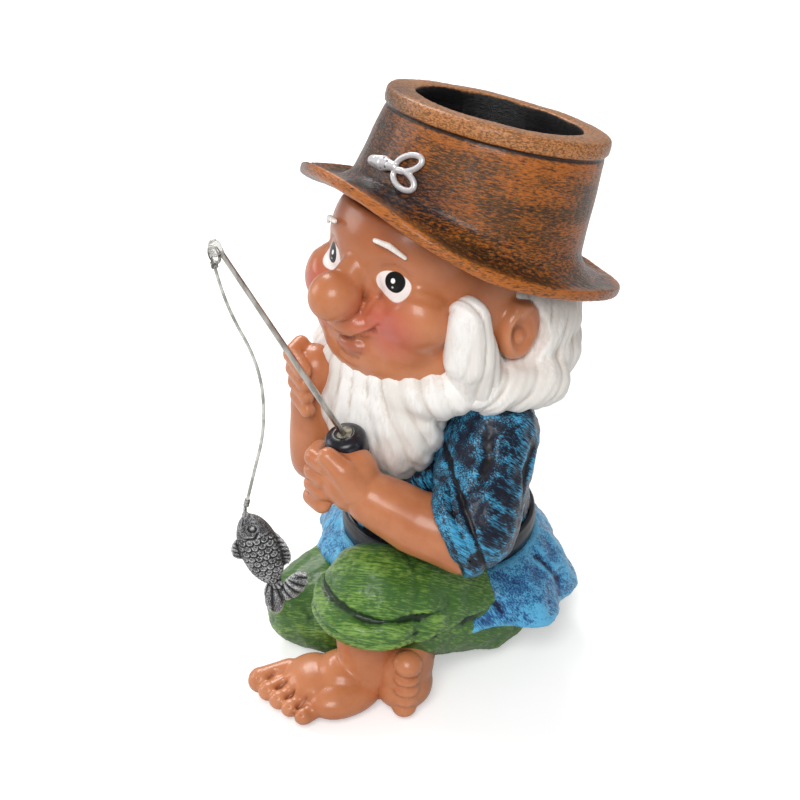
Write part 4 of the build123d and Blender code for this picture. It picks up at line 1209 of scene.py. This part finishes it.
# %% Clear glue eye
glue = bpy.data.materials.new("clear_glue")
glue.use_nodes = True
glue_tree = glue.node_tree
glue_shader = glue_tree.nodes["Principled BSDF"]
for key, value in {"Base Color": tint(236, 236, 232), "Roughness": 0.12, "Transmission Weight": 0.75, "IOR": 1.46}.items():
    glue_shader.inputs[key].default_value = value
frost = node(glue_tree, "ShaderNodeTexNoise", None, {"Scale": 500.0, "Detail": 3.0})
plug(glue_tree, place_of(glue_tree), frost.inputs["Vector"])
plug(glue_tree, remap(glue_tree, frost.outputs["Fac"], 0.3, 0.7, 0.06, 0.3), glue_shader.inputs["Roughness"])
bead_low, bead_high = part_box("tip_bead")
bead_at = 1000 * (Vector(bead_low) + Vector(bead_high)) / 2
rod_way = Vector((-0.090141, -0.463727, 0.881381))
clay = bmesh.new()
limb(clay, bead_at - 1.6 * rod_way, bead_at + 1.0 * rod_way, 1.5, 1.9)
ball(clay, bead_at + 1.9 * rod_way, (1.5, 1.9, 1.7), fine=3)
ball(clay, bead_at + Vector((0, -0.9, -0.4)), (1.2, 1.7, 2.2), fine=3)
bead = model(clay, "tip_bead_glue", 0.3, 4)
finish_piece(bead, "rod_wire", glue, "clear_glue", "tip_bead")

# %% [markdown]
# The parts that the frame already shapes well, such as the wire and its rings, keep their CAD
# meshes and get finer materials in their slots.

# %% Wire, rings, bushing and nylon
def brushed_metal(name, dark, light, roughness, stretch):
    metal, tree, shader = start_paint(name, roughness)
    shader.inputs["Metallic"].default_value = 1.0
    drawn = node(tree, "ShaderNodeTexNoise", None, {"Scale": 900.0, "Detail": 4.0})
    plug(tree, place_of(tree, (0, 0, 0), stretch), drawn.inputs["Vector"])
    plug(tree, mix(tree, remap(tree, drawn.outputs["Fac"], 0.35, 0.65), dark, light), shader.inputs["Base Color"])
    plug(tree, remap(tree, drawn.outputs["Fac"], 0.3, 0.7, roughness, roughness + 0.15), shader.inputs["Roughness"])
    return metal


def repaint(name, paint):
    mesh = nodes[name].data
    for k in range(max(1, len(mesh.materials))):
        if mesh.materials:
            mesh.materials[k] = paint
        else:
            mesh.materials.append(paint)


rod_metal = brushed_metal("rod_steel", tint(158, 154, 146), tint(204, 202, 196), 0.26, (1, 0.3, 0.12))
ring_metal = brushed_metal("ring_steel", tint(100, 96, 92), tint(190, 188, 184), 0.24, (1, 1, 1))
pin_metal = brushed_metal("dowel_steel", tint(110, 110, 112), tint(170, 170, 172), 0.35, (1, 1, 1))
for name, metal in (("rod", rod_metal), ("line_loop", ring_metal), ("fish_ring", ring_metal), ("hat_dowel", pin_metal),
                    ("left_arm_dowel", pin_metal), ("right_arm_dowel", pin_metal), ("left_leg_dowel", pin_metal),
                    ("right_leg_dowel", pin_metal)):
    repaint(name, metal)

bushing_plastic, bushing_tree, bushing_shader = start_paint("bushing_plastic", 0.35, 0.2)
cloud = node(bushing_tree, "ShaderNodeTexNoise", None, {"Scale": 600.0, "Detail": 4.0})
plug(bushing_tree, place_of(bushing_tree), cloud.inputs["Vector"])
plug(bushing_tree, mix(bushing_tree, remap(bushing_tree, cloud.outputs["Fac"], 0.35, 0.65), tint(104, 98, 84), tint(168, 160, 140)),
     bushing_shader.inputs["Base Color"])
repaint("rod_bushing", bushing_plastic)

nylon, nylon_tree, nylon_shader = start_paint("nylon", 0.3, 0.2)
haze = node(nylon_tree, "ShaderNodeTexNoise", None, {"Scale": 300.0, "Detail": 2.0})
plug(nylon_tree, place_of(nylon_tree), haze.inputs["Vector"])
plug(nylon_tree, mix(nylon_tree, remap(nylon_tree, haze.outputs["Fac"], 0.35, 0.65), tint(150, 150, 144), tint(206, 206, 200)),
     nylon_shader.inputs["Base Color"])
line_curve.materials.append(nylon)

resin, resin_tree, resin_shader = start_paint("base_resin", 0.6)
chalk = node(resin_tree, "ShaderNodeTexNoise", None, {"Scale": 200.0, "Detail": 6.0})
plug(resin_tree, place_of(resin_tree), chalk.inputs["Vector"])
plug(resin_tree, mix(resin_tree, remap(resin_tree, chalk.outputs["Fac"], 0.3, 0.7), tint(176, 170, 160), tint(214, 208, 198)),
     resin_shader.inputs["Base Color"])
repaint("base_plate", resin)
felt, felt_tree, felt_shader = start_paint("pad_felt", 0.95)
fuzz = node(felt_tree, "ShaderNodeTexNoise", None, {"Scale": 1600.0, "Detail": 6.0, "Roughness": 0.8})
plug(felt_tree, place_of(felt_tree), fuzz.inputs["Vector"])
plug(felt_tree, mix(felt_tree, remap(felt_tree, fuzz.outputs["Fac"], 0.3, 0.7), tint(20, 26, 20), tint(52, 62, 50)),
     felt_shader.inputs["Base Color"])
felt_relief = node(felt_tree, "ShaderNodeBump", None, {"Strength": 0.6, "Distance": 0.0004})
plug(felt_tree, fuzz.outputs["Fac"], felt_relief.inputs["Height"])
plug(felt_tree, felt_relief.outputs["Normal"], felt_shader.inputs["Normal"])
repaint("base_felt", felt)
print("fittings repainted")

# %% [markdown]
# The fish is a small cast charm, black with silver dragged over rows of scales. The scales are
# pressed in the clay as overlapping arcs, and the tail has rays.

# %% Fish
fish_turn = Matrix.Rotation(radians(-42), 4, "Z") @ Matrix.Rotation(radians(16), 4, "X")
fish_place = Matrix.Translation(Vector((3.582, -87.940, 80.441)) / 1000) @ fish_turn
clay = bmesh.new()
body_long = 0.7 * 38.0
ball(clay, (0, 0.5, -0.52 * body_long), (4.25, 6.75, 13.8))
limb(clay, (0, 0, -0.2), (0, 0, -7), 1.3, 3.6)
ball(clay, (0, 5.5, -0.55 * body_long), (1.2, 3.6, 7.5), (12, 0, 0))
ball(clay, (0, -6.0, -0.45 * body_long), (1.1, 2.6, 4.0), (-25, 0, 0))
limb(clay, (0, 0, -0.8 * body_long), (0, 1.5, -body_long - 1.5), 3.2, 1.9)
ball(clay, (0, 6.5, -body_long - 4.0), (1.4, 6.5, 3.4), (38, 0, 0))
ball(clay, (0, -1.0, -body_long - 6.5), (1.4, 3.4, 6.5), (-12, 0, 0))
fish = model(clay, "fish_charm", 0.28, 3)
points, ways = skin_of(fish)
side, tall = points[:, 1], points[:, 2]
row = -tall / 2.1
column = side / 2.5 + 0.5 * np.floor(row)
in_row, in_column = row - np.floor(row), column - np.floor(column) - 0.5
arc = np.hypot(in_column, (in_row - 0.1) * 0.9)
scale_edge = np.clip(1 - np.abs(arc - 0.52) / 0.16, 0, 1)
flank = np.clip((-tall - 7.2) / 1.2, 0, 1) * np.clip((tall + body_long + 0.5) / 2, 0, 1) * np.clip(np.abs(ways[:, 0]) * 2.2, 0, 1)
flank *= np.clip((6.4 - np.abs(side - 0.4)) / 1.2, 0, 1)
slope = 0.3 * np.clip(1 - np.abs(arc - 0.38) / 0.13, 0, 1) - 0.1
rays = np.clip((-tall - body_long + 0.2) / 1.5, 0, 1)
ray_angle = np.arctan2(side - 1.2, -tall - body_long + 3)
ray_depth = 0.4 * (np.abs(np.sin(11 * ray_angle)) ** 0.7 - 0.6)
fin = np.clip((np.abs(side - 0.4) - 6.2) / 0.6, 0, 1) * (1 - rays)
fin_rays = 0.3 * (np.abs(np.sin(1.9 * tall + 1.1 * side)) ** 0.5 - 0.6)
reshape(fish, points + (flank * (slope - 0.5 * scale_edge) + rays * ray_depth + fin * fin_rays)[:, None] * ways)
for way in (1, -1):
    score(fish, [(way * 3.4, 3.4, -4.6), (way * 4, 1.0, -7.4), (way * 3.6, -2.6, -7.0), (way * 3, -4.0, -4.8)], 0.7, 0.6, ends=0.5)
    score(fish, [(way * 3.0, 1.2 + 1.25 * cos(t), -3.9 + 1.25 * sin(t)) for t in np.linspace(0, 2 * pi, 13)],
          0.5, 0.35, ends=1)
    swell(fish, (way * 3.0, 1.2, -3.9), (2, 0.9, 0.9), 0.4)
    score(fish, [(way * 1.4, -1.0, -0.8), (way * 2.2, -1.8, -2.4)], 0.5, 0.4, ends=0.5)
fish.data.transform(fish_place)
fish_paint, fish_tree, fish_shader, fish_dab, fish_strokes = dry_brushed(
    "fish_paint", tint(3, 3, 4), tint(7, 7, 9), tint(244, 244, 246), 0.02, (0, 0, 0), (1, 1, 1), 4500,
    roughness=0.3, coat=0.15, patchiness=0.08)
finish_piece(fish, "fish", fish_paint, "fish_paint", "fish", full=0.16)

# %% [markdown]
# Last, the view layer is brought up to date.

# %% Update
bpy.context.view_layer.update()
